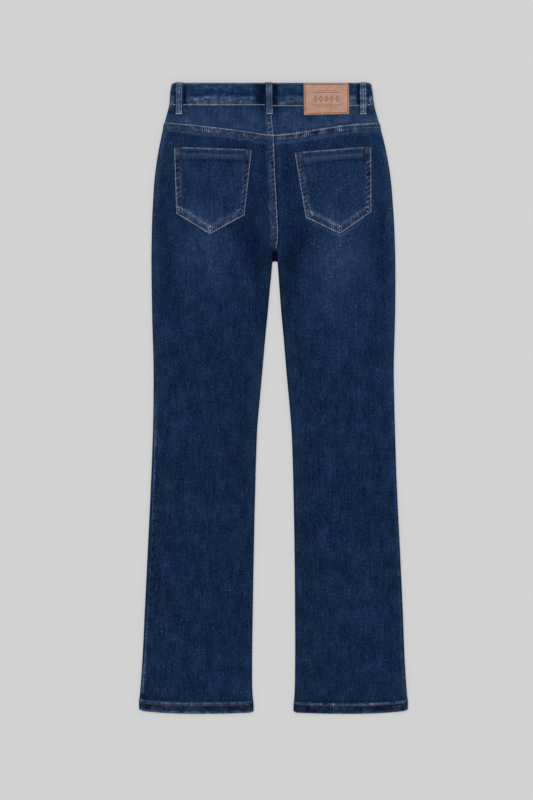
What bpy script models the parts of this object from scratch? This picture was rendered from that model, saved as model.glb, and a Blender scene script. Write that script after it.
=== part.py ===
"""Slim fit jeans, laid flat with the back up.

The front cloth rests on the surface and the back cloth lies on it. Every cloth piece is a closed wall,
worked out section by section: a section runs along the cloth from one side fold or seam to the next, and
raised seams, hems and borders are in its outer points only, over a plain inside.

Axes: +X across, to the wearer's right; +Y along the garment, to the waist; +Z up from the surface.
Sizes are in millimetres until a mesh is made. "down" is measured from the tops of the belt loops towards
the hems, and "across" from the middle of the width.
"""
from bisect import bisect_right
from collections import namedtuple
from math import cos, pi, sin

import bmesh
import bpy
import numpy as np

# ---------------------------------------------------------------- driving sizes
LENGTH = 1050.0             # tops of the belt loops to the lowest point of the hems
WAIST_TOP = 1.3             # top edge of the waistband at the back
WAISTBAND_BOTTOM = 39.2
WAISTBAND_DROP = 1.7        # how much lower its edge lies between the centre and right loops
FRONT_DIP = 14.0            # how far the waist dips at the centre front
DIP_HALF_WIDTH = 165.0
CENTRE_FRONT = 2.5          # where the two fronts meet
CROTCH = 299.0              # where the legs part

CLOTH = 1.0                 # wall of the denim
WAISTBAND_WALL = 2.2
POCKET_WALL = 1.0
LOOP_WALL = 1.8
LOOP_TOP_WALL = 1.0         # where a loop is pressed thin over the waistband's edge
PATCH_WALL = 1.3
SEAM_GAP = 0.3              # between pieces at a seam
LYING_GAP = 0.4             # under a piece that lies on a panel

WAIST_HEIGHT = 7.4          # outer face of the back waistband above the surface
WAIST_WAVE = 0.15           # height of the waistband's faint waves
WAIST_WAVE_REACH = 24.0
WAIST_EASE = 6.0            # below the waistband, over which what lies on it comes down to the back
LOFT_START = 2.0            # from a side fold inwards, the cloth starts to leave the fold's height
LOFT_EDGE = 28.0            # and here reaches its middle height
INNER_LOFT_FROM = 225.0     # the inner sides of the legs do the same below here
INNER_LOFT_FULL = 330.0
INSEAM_UNDER = 0.4          # how far under the fold the inner leg seam lies
VALLEY_FROM = 270.0         # the centre back seam turns down between the legs from here
VALLEY_FULL = 284.0         # to here
VALLEY_SIDE = 2.6           # width of the valley's slopes outside the legs' inner sides
VALLEY_INSIDE = 0.4
VALLEY_CLEARANCE = 0.1      # between the layers at the valley's floor, over the seam gap

YOKE_BAND = 9.5             # width of the raised seam under the yoke
CENTRE_BAND = 8.0           # width of the raised centre back seam
BAND_RISE = 0.9
BAND_FALL = 0.9             # width of a raised seam's sloping side
HEM = 17.0
HEM_FOLD = 0.9              # thickness that the turned-up hem adds
HEM_RISE = 0.6              # the part of it that stands out on the outside

POCKET_BORDER_RISE = 0.7
POCKET_HEM_RISE = 0.9
EDGE_ROUNDING = 0.4         # how far a piece's outer edge is lowered

LOOP_WIDTH = 11.6
LOOP_END = 54.0
LOOP_EDGE_STRIP = 0.7       # rounded strip along each side of a loop
LOOP_HEM = 4.0              # sewn down at the lower end
LOOP_TURN = 0.6             # height over which a loop's top turns into its hook
LOOP_CORNER = 0.7           # share of the wall left at that turn
LOOP_STEPS = (1.8, 9.0, 22.0)   # points of its flat stretch, down from the turn
LOOP_STEP_FROM = 0.6        # below the waistband, where a loop steps down to the yoke
LOOP_STEP_TO = 5.0
BACK_LOOP_HOOK = 3.3        # how far a loop's top is folded down behind the waistband
FRONT_LOOP_HOOK = 2.6
FRONT_LOOP = 82.0           # centre of each front loop from the middle
FRONT_LIFT = LOOP_WALL + SEAM_GAP   # how far what lies under the front lifts it
LIFT_HALF_WIDTH = 12.0
LIFT_FALL = 14.0
LOOP_LIFT_FALL = 28.0       # below a front loop, to where the front cloth is down again
BUTTON_LIFT_FALL = 26.0     # below the waistband, the same under the button
WAIST_LIFT = 1.0            # how far the front cloth is held up at the thicker waistband
WAIST_LIFT_FALL = 50.0      # below the waistband, to where it is down
BUTTON_RADIUS = 8.5
BUTTON_HEIGHT = LOOP_WALL
BUTTON_DOWN = 36.0
BUTTON_ACROSS = -15.0

# ---------------------------------------------------------------- tables, a row for each section
Side = namedtuple("Side", "down left right")
OUTER_SIDES = [
    Side(1.0, -165.5, 159.6),
    Side(3.2, -168.6, 162.0),
    Side(8.1, -170.1, 163.2),
    Side(38.1, -173.2, 167.5),
    Side(63.0, -179.9, 174.1),
    Side(104.6, -189.2, 185.1),
    Side(154.5, -196.9, 194.1),
    Side(204.4, -200.6, 198.7),
    Side(279.2, -202.8, 202.2),
    Side(379.0, -201.9, 202.4),
    Side(478.8, -199.4, 200.1),
    Side(578.6, -200.4, 202.1),
    Side(678.3, -204.2, 205.4),
    Side(778.1, -209.0, 210.4),
    Side(877.9, -213.9, 215.0),
    Side(977.7, -219.0, 219.2),
    Side(1012.0, -221.6, 221.6),
    Side(1026.0, -222.8, 222.8),
    Side(LENGTH, -223.0, 223.0),
]
INNER_SIDES = [
    Side(CROTCH, -1.7, 6.7),
    Side(329.1, -4.7, 9.1),
    Side(379.0, -9.1, 12.6),
    Side(428.9, -14.0, 17.3),
    Side(478.8, -18.3, 21.3),
    Side(528.7, -22.8, 25.9),
    Side(578.6, -27.1, 29.9),
    Side(628.4, -28.9, 31.9),
    Side(728.2, -31.5, 34.2),
    Side(877.9, -34.3, 35.8),
    Side(977.7, -35.4, 35.8),
    Side(1012.0, -35.0, 35.2),
    Side(1030.0, -33.8, 34.0),
    Side(LENGTH, -33.4, 33.6),
]

# Where the outer leg seam lies: arc length from the fold's outermost line, towards the back cloth.
SIDE_SEAM = [
    Side(38.0, -0.6, -0.6),
    Side(500.0, -0.6, -0.6),
    Side(570.0, 2.9, -0.6),
    Side(687.0, 5.0, -0.4),
    Side(770.0, 6.2, 1.0),
    Side(860.0, 6.2, 1.8),
    Side(925.0, 4.4, 1.8),
    Side(982.0, 2.8, 1.6),
    Side(LENGTH, 2.2, 1.4),
]

SeamPoint = namedtuple("SeamPoint", "across down")
YOKE_SEAM = [
    SeamPoint(-179.3, 66.9),
    SeamPoint(-126.9, 71.8),
    SeamPoint(-84.0, 76.8),
    SeamPoint(-41.1, 82.5),
    SeamPoint(-19.6, 85.8),
    SeamPoint(-5.0, 87.3),
    SeamPoint(3.3, 86.8),
    SeamPoint(36.4, 83.5),
    SeamPoint(77.8, 76.7),
    SeamPoint(119.1, 70.8),
    SeamPoint(174.3, 66.7),
]

CentrePoint = namedtuple("CentrePoint", "down across")
CENTRE_BACK = [
    CentrePoint(38.1, -4.8),
    CentrePoint(84.0, 0.1),
    CentrePoint(100.8, 1.2),
    CentrePoint(151.2, 3.1),
    CentrePoint(196.1, 5.5),
    CentrePoint(239.3, 7.6),
    CentrePoint(265.9, 7.4),
    CentrePoint(276.6, 5.2),
    CentrePoint(285.0, 3.6),
    CentrePoint(CROTCH, CENTRE_FRONT),
]

# Heights of the back cloth's outer face, at the side folds and between them.
Level = namedtuple("Level", "down edge middle")
LEVELS = [
    Level(38.0, 6.3, 6.3),
    Level(60.0, 5.7, 6.0),
    Level(90.0, 4.9, 5.4),
    Level(150.0, 4.5, 4.9),
    Level(260.0, 4.4, 4.4),
    Level(330.0, 4.4, 4.0),
    Level(550.0, 4.4, 3.6),
    Level(800.0, 4.4, 3.5),
    Level(1000.0, 4.5, 3.7),
    Level(LENGTH, 4.6, 4.1),
]

# How much higher the hem's edge lies near the sides of a leg than at its lowest point.
HemRise = namedtuple("HemRise", "inward outer inner")
HEM_RISES = [
    HemRise(0.0, 7.4, 4.4),
    HemRise(4.0, 5.4, 2.4),
    HemRise(10.0, 4.3, 1.8),
    HemRise(25.0, 2.7, 1.1),
    HemRise(50.0, 1.0, 0.3),
    HemRise(85.0, 0.0, 0.0),
]

# Soft swells and hollows of the back cloth. "turn" is the long axis' angle from the leg's own direction.
SoftForm = namedtuple("SoftForm", "across down turn length width height")
SOFT_FORMS = [
    SoftForm(-100.0, 180.0, 0.0, 95.0, 65.0, 0.7),      # seat
    SoftForm(104.0, 180.0, 0.0, 95.0, 65.0, 0.7),
    SoftForm(-96.0, 305.0, 0.0, 105.0, 42.0, 0.7),      # back of the thighs, below the pockets
    SoftForm(106.0, 310.0, 0.0, 110.0, 42.0, 0.7),
    SoftForm(-44.0, 322.0, 10.0, 80.0, 15.0, -0.6),     # inner thighs
    SoftForm(52.0, 322.0, -10.0, 80.0, 15.0, -0.6),
    SoftForm(-38.0, 272.0, 58.0, 42.0, 9.0, 0.6),       # drag lines from the crotch
    SoftForm(50.0, 270.0, -58.0, 42.0, 9.0, 0.6),
    SoftForm(181.0, 250.0, 1.0, 95.0, 9.0, -0.5),       # beside the right hip
    SoftForm(-112.0, 545.0, 82.0, 55.0, 16.0, 0.5),     # back of the knees
    SoftForm(-108.0, 590.0, 96.0, 50.0, 15.0, -0.4),
    SoftForm(118.0, 560.0, -80.0, 55.0, 16.0, 0.5),
    SoftForm(112.0, 604.0, -95.0, 50.0, 15.0, -0.4),
    SoftForm(-138.0, 800.0, 3.0, 160.0, 24.0, 0.6),     # lower legs
    SoftForm(142.0, 820.0, -3.0, 160.0, 24.0, 0.6),
]

Corner = namedtuple("Corner", "across down")
Cut = namedtuple("Cut", "top_low top_high bottom_high tip bottom_low")
POCKETS = {
    "pocket_left": Cut(Corner(-165.2, 108.0), Corner(-35.8, 112.0), Corner(-47.9, 220.7),
                       Corner(-105.4, 252.9), Corner(-161.5, 218.4)),
    "pocket_right": Cut(Corner(35.2, 117.0), Corner(162.6, 106.9), Corner(163.0, 215.9),
                        Corner(110.8, 252.0), Corner(53.5, 225.0)),
}
PATCH_CORNERS = Cut(Corner(49.8, 1.6), Corner(125.1, 1.6), Corner(126.1, 53.2), None, Corner(50.9, 55.0))

# Centre line of each loop, at its top and at its lower end.
Loop = namedtuple("Loop", "name face top_across end_across over_seam")
BACK, FRONT = 1, -1
LOOPS = [
    Loop("loop_back_left", BACK, -156.4, -157.1, False),
    Loop("loop_back_centre", BACK, -7.4, -6.1, True),
    Loop("loop_back_right", BACK, 149.0, 149.4, False),
    Loop("loop_front_left", FRONT, -FRONT_LOOP, -FRONT_LOOP, False),
    Loop("loop_front_right", FRONT, FRONT_LOOP, FRONT_LOOP, False),
]

# ---------------------------------------------------------------- curves


def smooth(low, high, value):
    """0 below low, 1 above high, and an even turn between."""
    share = min(max((value - low) / (high - low), 0.0), 1.0)
    return share * share * (3.0 - 2.0 * share)


def curve(table, column):
    """A smooth curve through one column of a table, over the table's first column."""
    keys = [row[0] for row in table]
    values = [getattr(row, column) for row in table]
    slopes = np.gradient(values, keys)

    def follow(key):
        key = min(max(key, keys[0]), keys[-1])
        row = min(bisect_right(keys, key), len(keys) - 1) - 1
        span = keys[row + 1] - keys[row]
        t = (key - keys[row]) / span
        start = (1.0 + 2.0 * t) * (1.0 - t) ** 2 * values[row] + t * (1.0 - t) ** 2 * span * slopes[row]
        end = t * t * (3.0 - 2.0 * t) * values[row + 1] + t * t * (t - 1.0) * span * slopes[row + 1]
        return start + end

    return follow


LEFT, RIGHT = -1, 1
outer_side = {LEFT: curve(OUTER_SIDES, "left"), RIGHT: curve(OUTER_SIDES, "right")}
inner_side = {LEFT: curve(INNER_SIDES, "left"), RIGHT: curve(INNER_SIDES, "right")}
side_seam = {LEFT: curve(SIDE_SEAM, "left"), RIGHT: curve(SIDE_SEAM, "right")}
yoke_seam = curve(YOKE_SEAM, "down")
centre_back = curve(CENTRE_BACK, "across")
edge_level = curve(LEVELS, "edge")
middle_level = curve(LEVELS, "middle")
outer_rise = curve(HEM_RISES, "outer")
inner_rise = curve(HEM_RISES, "inner")


def front_dip(across):
    return FRONT_DIP * (1.0 - smooth(0.0, DIP_HALF_WIDTH, abs(across)))


def waistband_edge(across):
    """Lower edge of the back waistband, which steps down under the centre loop and up under the right one."""
    lowered = smooth(-22.0, 8.0, across) * (1.0 - smooth(132.0, 166.0, across))
    return WAISTBAND_BOTTOM + WAISTBAND_DROP * lowered


def hem_edge(across):
    """Lower edge of the leg that passes here."""
    side = LEFT if across < CENTRE_FRONT else RIGHT
    from_outer = max(0.0, side * (outer_side[side](LENGTH) - across))
    from_inner = max(0.0, side * (across - inner_side[side](LENGTH)))
    return LENGTH - outer_rise(from_outer) - inner_rise(from_inner)


# ---------------------------------------------------------------- heights of the two layers


def soft_forms(across, down):
    total = 0.0
    for form in SOFT_FORMS:
        turn = form.turn * pi / 180.0
        right, below = across - form.across, down - form.down
        along = (right * sin(turn) + below * cos(turn)) / form.length
        beside = (right * cos(turn) - below * sin(turn)) / form.width
        total += form.height * np.exp(-along * along - beside * beside)
    return total


def crotch_valley(across, down, height):
    """How far the back dips where its centre seam turns under, between the two legs."""
    if down > CROTCH:
        return 0.0
    low, high = inner_side[LEFT](CROTCH), inner_side[RIGHT](CROTCH)
    inside = smooth(low - VALLEY_SIDE, low + VALLEY_INSIDE, across)
    inside *= 1.0 - smooth(high - VALLEY_INSIDE, high + VALLEY_SIDE, across)
    floor = 2.0 * CLOTH + SEAM_GAP + VALLEY_CLEARANCE
    return (height - floor) * inside * smooth(VALLEY_FROM, VALLEY_FULL, down)


def back_height(across, down):
    """Outer face of the back cloth."""
    side = LEFT if across < centre_back(down) else RIGHT
    from_outer = side * (outer_side[side](down) - across)
    from_inner = side * (across - inner_side[side](max(down, CROTCH)))
    middle = smooth(LOFT_START, LOFT_EDGE, from_outer)
    legs = smooth(INNER_LOFT_FROM, INNER_LOFT_FULL, down)
    middle *= 1.0 - legs * (1.0 - smooth(LOFT_START, LOFT_EDGE, from_inner))
    edge = edge_level(down)
    height = edge + middle * (middle_level(down) - edge + soft_forms(across, down))
    return height - crotch_valley(across, down, height)


def underside_level(below_waist):
    """Height of the front cloth's outer face at the side folds."""
    return WAIST_LIFT * (1.0 - smooth(WAISTBAND_BOTTOM, WAISTBAND_BOTTOM + WAIST_LIFT_FALL, below_waist))


def loop_lift(across):
    """1 over a front loop, 0 away from it."""
    return 1.0 - smooth(LIFT_HALF_WIDTH, LIFT_HALF_WIDTH + LIFT_FALL, abs(abs(across) - FRONT_LOOP))


def button_lift(across):
    return 1.0 - smooth(LIFT_HALF_WIDTH, LIFT_HALF_WIDTH + LIFT_FALL, abs(across - BUTTON_ACROSS))


def front_height(across, down):
    """Outer face of the front cloth: on the surface, but for what lies under it near the waistband."""
    below_waist = down - front_dip(across)
    below_loop = smooth(LOOP_END + 3.0, LOOP_END + LOOP_LIFT_FALL, below_waist)
    below_button = smooth(WAISTBAND_BOTTOM, WAISTBAND_BOTTOM + BUTTON_LIFT_FALL, below_waist)
    lift = max(loop_lift(across) * (1.0 - below_loop), button_lift(across) * (1.0 - below_button))
    return max(underside_level(below_waist), FRONT_LIFT * lift)


def waistband_top(across, down):
    return WAIST_HEIGHT + WAIST_WAVE * cos(across / WAIST_WAVE_REACH)


def waistband_underside(across, down):
    return FRONT_LIFT * max(loop_lift(across), button_lift(across))


# A form gives a section its heights: both faces at the side folds, and each face between them.
Form = namedtuple("Form", "edge_top edge_bottom top bottom")
BODY = Form(edge_level, underside_level, back_height, front_height)
WAISTBAND = Form(lambda down: WAIST_HEIGHT, lambda down: 0.0, waistband_top, waistband_underside)


# ---------------------------------------------------------------- sections

# One end of a section: the outermost line that it reaches, and how far its cloth goes on round a fold
# past the flat. None is a flat edge with no fold.
End = namedtuple("End", "edge wrap")
NORMAL_STEP = 0.1


class Section:
    """The run of one face's cloth at one height of the garment, from its low-x end to its high-x end."""

    def __init__(self, form, face, down, low, high):
        self.form, self.face, self.down = form, face, down
        self.radius = (form.edge_top(down) - form.edge_bottom(down)) / 2.0
        self.middle = (form.edge_top(down) + form.edge_bottom(down)) / 2.0
        self.low_wrap = low.wrap or 0.0
        self.low_folds, self.high_folds = low.wrap is not None, high.wrap is not None
        self.low_x = low.edge + self.radius * self.low_folds
        self.high_x = high.edge - self.radius * self.high_folds
        self.length = self.low_wrap + (self.high_x - self.low_x) + (high.wrap or 0.0)

    def height(self, face, across):
        surface = self.form.top if face == BACK else self.form.bottom
        return surface(across, self.down)

    def point(self, along):
        """Across and height of the outer face, at a distance along the cloth."""
        beyond = along - self.low_wrap
        flat = self.high_x - self.low_x
        if beyond < 0.0 and self.low_folds:
            side, past, tangent = LEFT, -beyond, self.low_x
        elif beyond > flat and self.high_folds:
            side, past, tangent = RIGHT, beyond - flat, self.high_x
        else:
            across = self.low_x + beyond
            return np.array((across, self.height(self.face, across)))
        angle = past / self.radius
        if angle > pi:
            across = tangent - side * (past - pi * self.radius)
            return np.array((across, self.height(-self.face, across)))
        across = tangent + side * self.radius * sin(angle)
        return np.array((across, self.middle + self.face * self.radius * cos(angle)))

    def normal(self, along):
        """Outward direction, in the section's plane."""
        run = self.point(along + NORMAL_STEP) - self.point(along - NORMAL_STEP)
        outward = self.face * np.array((-run[1], run[0]))
        return outward / np.linalg.norm(outward)


def back_wrap(form, side, down):
    """How far the back cloth goes round the outer fold, to the side seam."""
    radius = (form.edge_top(down) - form.edge_bottom(down)) / 2.0
    return radius * pi / 2.0 - side_seam[side](down)


def outer_end(form, face, side, down):
    wrap = back_wrap(form, side, down)
    if face == FRONT:
        radius = (form.edge_top(down) - form.edge_bottom(down)) / 2.0
        wrap = pi * radius - wrap - SEAM_GAP
    return End(outer_side[side](down), wrap)


def inner_end(form, face, side, down):
    if down < CROTCH:
        seam = centre_back(down) if face == BACK else CENTRE_FRONT
        return End(seam + side * SEAM_GAP / 2.0, None)
    radius = (form.edge_top(down) - form.edge_bottom(down)) / 2.0
    wrap = radius * pi / 2.0 + INSEAM_UNDER
    if face == FRONT:
        wrap = pi * radius - wrap - SEAM_GAP
    return End(inner_side[side](down), wrap)


def half_section(form, face, side, down):
    """Section of a piece that belongs to one side of the garment."""
    outer, inner = outer_end(form, face, side, down), inner_end(form, face, side, down)
    low, high = (outer, inner) if side == LEFT else (inner, outer)
    return Section(form, face, down, low, high)


def whole_section(form, face, down):
    """Section of a piece that runs from one side fold to the other."""
    return Section(form, face, down, outer_end(form, face, LEFT, down), outer_end(form, face, RIGHT, down))


# ---------------------------------------------------------------- walls

# A raised stretch along one edge of a panel: "top", "inner" or "bottom". It fades out between two heights.
Band = namedtuple("Band", "edge width rise fade_from fade_to")
NEVER = 2.0 * LENGTH
# The lines of a panel's grid. Columns: distances along the cloth from both ends, and shares of what lies
# between. Rows: distances from the top and bottom edges, and heights on the middle line between.
Columns = namedtuple("Columns", "from_low shares from_high")
Rows = namedtuple("Rows", "from_top downs from_bottom")
Panel = namedtuple("Panel", "form face side top bottom rows columns wall bands")
TOP_EDGE_REACH = 260.0      # rows lie level from here
HEM_REACH = 850.0           # to here, and follow the panel's edges beyond
BAND_ENDS_AT = -0.5         # upward share of the outward normal at which a band has run out round a fold


def column_positions(columns, length):
    low = list(columns.from_low)
    high = [length - distance for distance in columns.from_high]
    between = [low[-1] + share * (high[0] - low[-1]) for share in columns.shares]
    return low + between + high


def row_positions(panel, across):
    """Every row's height where it passes a place across."""
    rows, top, bottom = panel.rows, panel.top(across), panel.bottom(across)
    level_top = panel.top(0.0) + rows.from_top[-1]
    level_bottom = LENGTH - rows.from_bottom[0]
    between = []
    for down in rows.downs:
        top_share = 1.0 - smooth(level_top, TOP_EDGE_REACH, down)
        bottom_share = smooth(HEM_REACH, level_bottom, down)
        between.append(down + (top - panel.top(0.0)) * top_share + (bottom - LENGTH) * bottom_share)
    return [top + step for step in rows.from_top] + between + [bottom - step for step in rows.from_bottom]


def section_at(panel, down):
    if panel.side is None:
        return whole_section(panel.form, panel.face, down)
    return half_section(panel.form, panel.face, panel.side, down)


def panel_point(panel, row, column):
    """Outer and inner point of the wall, as (across, down, height)."""
    down = row_positions(panel, 0.0)[row]
    for _ in range(4):
        section = section_at(panel, down)
        along = column_positions(panel.columns, section.length)[column]
        across = section.point(along)[0]
        down = row_positions(panel, across)[row]
    section = section_at(panel, down)
    along = column_positions(panel.columns, section.length)[column]
    point, normal = section.point(along), section.normal(along)
    from_inner = along if panel.side == RIGHT else section.length - along
    distances = {"top": down - panel.top(across), "bottom": panel.bottom(across) - down,
                 "inner": from_inner}
    rise, hem = 0.0, 0.0
    for band in panel.bands:
        inside = 1.0 - smooth(band.width, band.width + BAND_FALL, distances[band.edge])
        inside *= 1.0 - smooth(band.fade_from, band.fade_to, down)
        rise = max(rise, inside * band.rise)
        if band.edge == "bottom":
            hem = inside * HEM_FOLD
    rise *= smooth(BAND_ENDS_AT, 0.0, normal[1])
    hem_inside = max(0.0, hem - rise)
    outer = point + rise * normal
    inner = point - (panel.wall + hem_inside) * normal
    return (outer[0], down, outer[1]), (inner[0], down, inner[1])


def build_wall(name, material, rows, columns, place):
    """A closed wall from a grid; place(row, column) gives its outer and inner point."""
    mesh = bmesh.new()
    layers = [[], []]
    for row in range(rows):
        for layer in layers:
            layer.append([])
        for column in range(columns):
            for layer, (across, down, height) in zip(layers, place(row, column)):
                place_in_frame = (across / 1000.0, (LENGTH / 2.0 - down) / 1000.0, height / 1000.0)
                layer[-1].append(mesh.verts.new(place_in_frame))
    outer, inner = layers
    for row in range(rows - 1):
        for column in range(columns - 1):
            for layer in layers:
                mesh.faces.new((layer[row][column], layer[row][column + 1],
                                layer[row + 1][column + 1], layer[row + 1][column]))
    rim = [(0, column) for column in range(columns)]
    rim += [(row, columns - 1) for row in range(1, rows)]
    rim += [(rows - 1, column) for column in range(columns - 2, -1, -1)]
    rim += [(row, 0) for row in range(rows - 2, 0, -1)]
    for (row, column), (next_row, next_column) in zip(rim, rim[1:] + rim[:1]):
        mesh.faces.new((outer[row][column], outer[next_row][next_column],
                        inner[next_row][next_column], inner[row][column]))
    bmesh.ops.recalc_face_normals(mesh, faces=mesh.faces)
    return add_object(name, mesh, material)


def build_panel(name, panel):
    rows = sum(len(part) for part in panel.rows)
    columns = sum(len(part) for part in panel.columns)
    build_wall(name, DENIM, rows, columns, lambda row, column: panel_point(panel, row, column))


# ---------------------------------------------------------------- scene, materials


def clear_scene():
    for old in list(bpy.data.objects):
        bpy.data.objects.remove(old, do_unlink=True)


def make_material(name, color, roughness, metallic):
    material = bpy.data.materials.new(name)
    material.use_nodes = True
    shader = material.node_tree.nodes["Principled BSDF"]
    shader.inputs["Base Color"].default_value = (*color, 1.0)
    shader.inputs["Roughness"].default_value = roughness
    shader.inputs["Metallic"].default_value = metallic
    material.diffuse_color = (*color, 1.0)
    return material


def add_object(name, mesh, material):
    data = bpy.data.meshes.new(name)
    mesh.to_mesh(data)
    mesh.free()
    data.materials.append(material)
    data.shade_smooth()
    data.set_sharp_from_angle(angle=0.7)
    piece = bpy.data.objects.new(name, data)
    PIECES.objects.link(piece)
    return piece


clear_scene()
PIECES = bpy.data.collections.new("slim_fit_jeans")
bpy.context.scene.collection.children.link(PIECES)
DENIM = make_material("denim", (0.011, 0.026, 0.068), 0.9, 0.0)
LEATHER = make_material("patch_leather", (0.43, 0.25, 0.18), 0.6, 0.0)
METAL = make_material("button_metal", (0.35, 0.27, 0.2), 0.4, 1.0)

# ---------------------------------------------------------------- legs and yokes


def mirrored(columns):
    return Columns(columns.from_high[::-1], [1.0 - share for share in reversed(columns.shares)],
                   columns.from_low[::-1])


def for_side(side, columns):
    return columns if side == LEFT else mirrored(columns)


def waist_seam_back(across):
    return waistband_edge(across) + SEAM_GAP


def waist_seam_front(across):
    return WAISTBAND_BOTTOM + SEAM_GAP + front_dip(across)


def yoke_edge(across):
    return yoke_seam(across) - SEAM_GAP


# Both layers have the same rows from the crotch down, so that their side seams meet all along.
LEG_DOWNS = [297.4, 301.2, 312.0, 335.0, 370.0, 410.0, 460.0, 510.0, 540.0, 575.0, 620.0, 680.0, 735.0,
             790.0, 850.0, 910.0, 970.0]
HEM_ROWS = [HEM + BAND_FALL, HEM, 0.0]
BACK_LEG_ROWS = Rows(
    [0.0, YOKE_BAND, YOKE_BAND + BAND_FALL, 24.0],
    [128.0, 150.0, 175.0, 200.0, 225.0, 250.0, 266.0, 274.0, 279.0, 284.0, 291.0] + LEG_DOWNS, HEM_ROWS)
FRONT_LEG_ROWS = Rows(
    [0.0, 7.0, 16.0, 26.0, 42.0], [130.0, 180.0, 230.0, 270.0, 290.0] + LEG_DOWNS, HEM_ROWS)
YOKE_ROWS = Rows([0.0, 11.0], [], [11.0, 0.0])
WAISTBAND_ROWS = Rows([0.0, 1.2, 18.0], [], [1.0, 0.0])

SIDE_COLUMNS = [0.0, 1.3, 2.6, 4.2]
BAND_COLUMNS = [CENTRE_BAND + BAND_FALL, CENTRE_BAND]
BACK_LEG_COLUMNS = Columns(
    SIDE_COLUMNS, [0.06, 0.16, 0.28, 0.41, 0.54, 0.67, 0.79, 0.9], BAND_COLUMNS + [6.2, 4.2, 2.6, 1.3, 0.0])
YOKE_COLUMNS = Columns(
    [0.0, 1.7, 3.4, 5.2], [0.04, 0.08, 0.12, 0.17, 0.23, 0.3, 0.5, 0.7, 0.82, 0.88, 0.94], BAND_COLUMNS + [0.0])

# Columns of the front at these places across, so that it rises over what lies under it.
FRONT_REACH = 170.0
FRONT_END = 4.0
FRONT_ACROSS = [146.0, FRONT_LOOP + 26.0, FRONT_LOOP + 12.0, FRONT_LOOP - 12.0, FRONT_LOOP - 26.0, 41.0,
                27.0]
FRONT_SHARES = [(FRONT_REACH - across) / (FRONT_REACH - FRONT_END) for across in FRONT_ACROSS]
FRONT_LEG_COLUMNS = {
    LEFT: Columns([0.0, 1.5, 3.0, 4.5, 6.0, 7.5, 9.0, 10.6], FRONT_SHARES, [4.2, 2.6, 1.3, 0.0]),
    RIGHT: mirrored(Columns(SIDE_COLUMNS, FRONT_SHARES, [4.2, 2.6, 1.3, 0.0])),
}
WAISTBAND_FOLD = [0.0, 1.7, 3.4, 5.1, 6.8]
WAISTBAND_BACK_COLUMNS = Columns(
    WAISTBAND_FOLD, [share / 28.0 for share in range(1, 28)], WAISTBAND_FOLD[::-1])
WAISTBAND_FRONT_COLUMNS = Columns(WAISTBAND_FOLD[:4], FRONT_SHARES, [5.5, 0.0])

HEM_BAND = Band("bottom", HEM, HEM_RISE, NEVER, NEVER + 1.0)
YOKE_SEAM_BAND = Band("top", YOKE_BAND, BAND_RISE, NEVER, NEVER + 1.0)
CENTRE_SEAM_BAND = Band("inner", CENTRE_BAND, BAND_RISE, 268.0, 281.0)


def build_legs_and_yokes():
    for side, word in ((LEFT, "left"), (RIGHT, "right")):
        # The left half laps over the right along the centre back.
        centre_bands = [CENTRE_SEAM_BAND] if side == LEFT else []
        build_panel("back_leg_" + word, Panel(
            BODY, BACK, side, yoke_seam, hem_edge, BACK_LEG_ROWS, for_side(side, BACK_LEG_COLUMNS), CLOTH,
            [YOKE_SEAM_BAND, HEM_BAND] + centre_bands))
        build_panel("yoke_" + word, Panel(
            BODY, BACK, side, waist_seam_back, yoke_edge, YOKE_ROWS, for_side(side, YOKE_COLUMNS), CLOTH,
            centre_bands))
        build_panel("front_leg_" + word, Panel(
            BODY, FRONT, side, waist_seam_front, hem_edge, FRONT_LEG_ROWS, FRONT_LEG_COLUMNS[side], CLOTH,
            [HEM_BAND]))


# ---------------------------------------------------------------- waistband


def waist_top_back(across):
    return WAIST_TOP


def waist_top_front(across):
    return WAIST_TOP + front_dip(across)


def waistband_bottom_back(across):
    return waistband_edge(across)


def waistband_bottom_front(across):
    return WAISTBAND_BOTTOM + front_dip(across)


def build_waistband():
    build_panel("waistband_back", Panel(
        WAISTBAND, BACK, None, waist_top_back, waistband_bottom_back, WAISTBAND_ROWS,
        WAISTBAND_BACK_COLUMNS, WAISTBAND_WALL, []))
    for side, word in ((LEFT, "left"), (RIGHT, "right")):
        build_panel("waistband_front_" + word, Panel(
            WAISTBAND, FRONT, side, waist_top_front, waistband_bottom_front, WAISTBAND_ROWS,
            for_side(side, WAISTBAND_FRONT_COLUMNS), WAISTBAND_WALL, []))


# ---------------------------------------------------------------- pockets, patch


def dressed_back(across, down):
    """Outer face of the back with its waistband, eased over the waistband's lower edge."""
    edge = waistband_edge(across)
    eased = smooth(edge + SEAM_GAP, edge + WAIST_EASE, down)
    if eased == 0.0:
        return waistband_top(across, down)
    return waistband_top(across, down) * (1.0 - eased) + back_height(across, down) * eased


def cut_point(cut, across_share, down_share):
    """Place in a cut piece of cloth with four corners, or five with a tip below."""
    low = np.array(cut.top_low) * (1.0 - down_share) + np.array(cut.bottom_low) * down_share
    high = np.array(cut.top_high) * (1.0 - down_share) + np.array(cut.bottom_high) * down_share
    point = low * (1.0 - across_share) + high * across_share
    if cut.tip:
        tip_share = tip_across_share(cut)
        level = cut.bottom_low.down * (1.0 - tip_share) + cut.bottom_high.down * tip_share
        tent = min(across_share / tip_share, (1.0 - across_share) / (1.0 - tip_share))
        point[1] += (cut.tip.down - level) * tent * down_share
    return point


def tip_across_share(cut):
    return (cut.tip.across - cut.bottom_low.across) / (cut.bottom_high.across - cut.bottom_low.across)


POCKET_SIDE = 0.076         # border width as a share of the pocket's width
POCKET_BOTTOM = 0.086       # border width as a share of the pocket's side
POCKET_HEM = 0.17
EDGE_SHARE = 0.009
SLOPE_SHARE = 0.008


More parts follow.
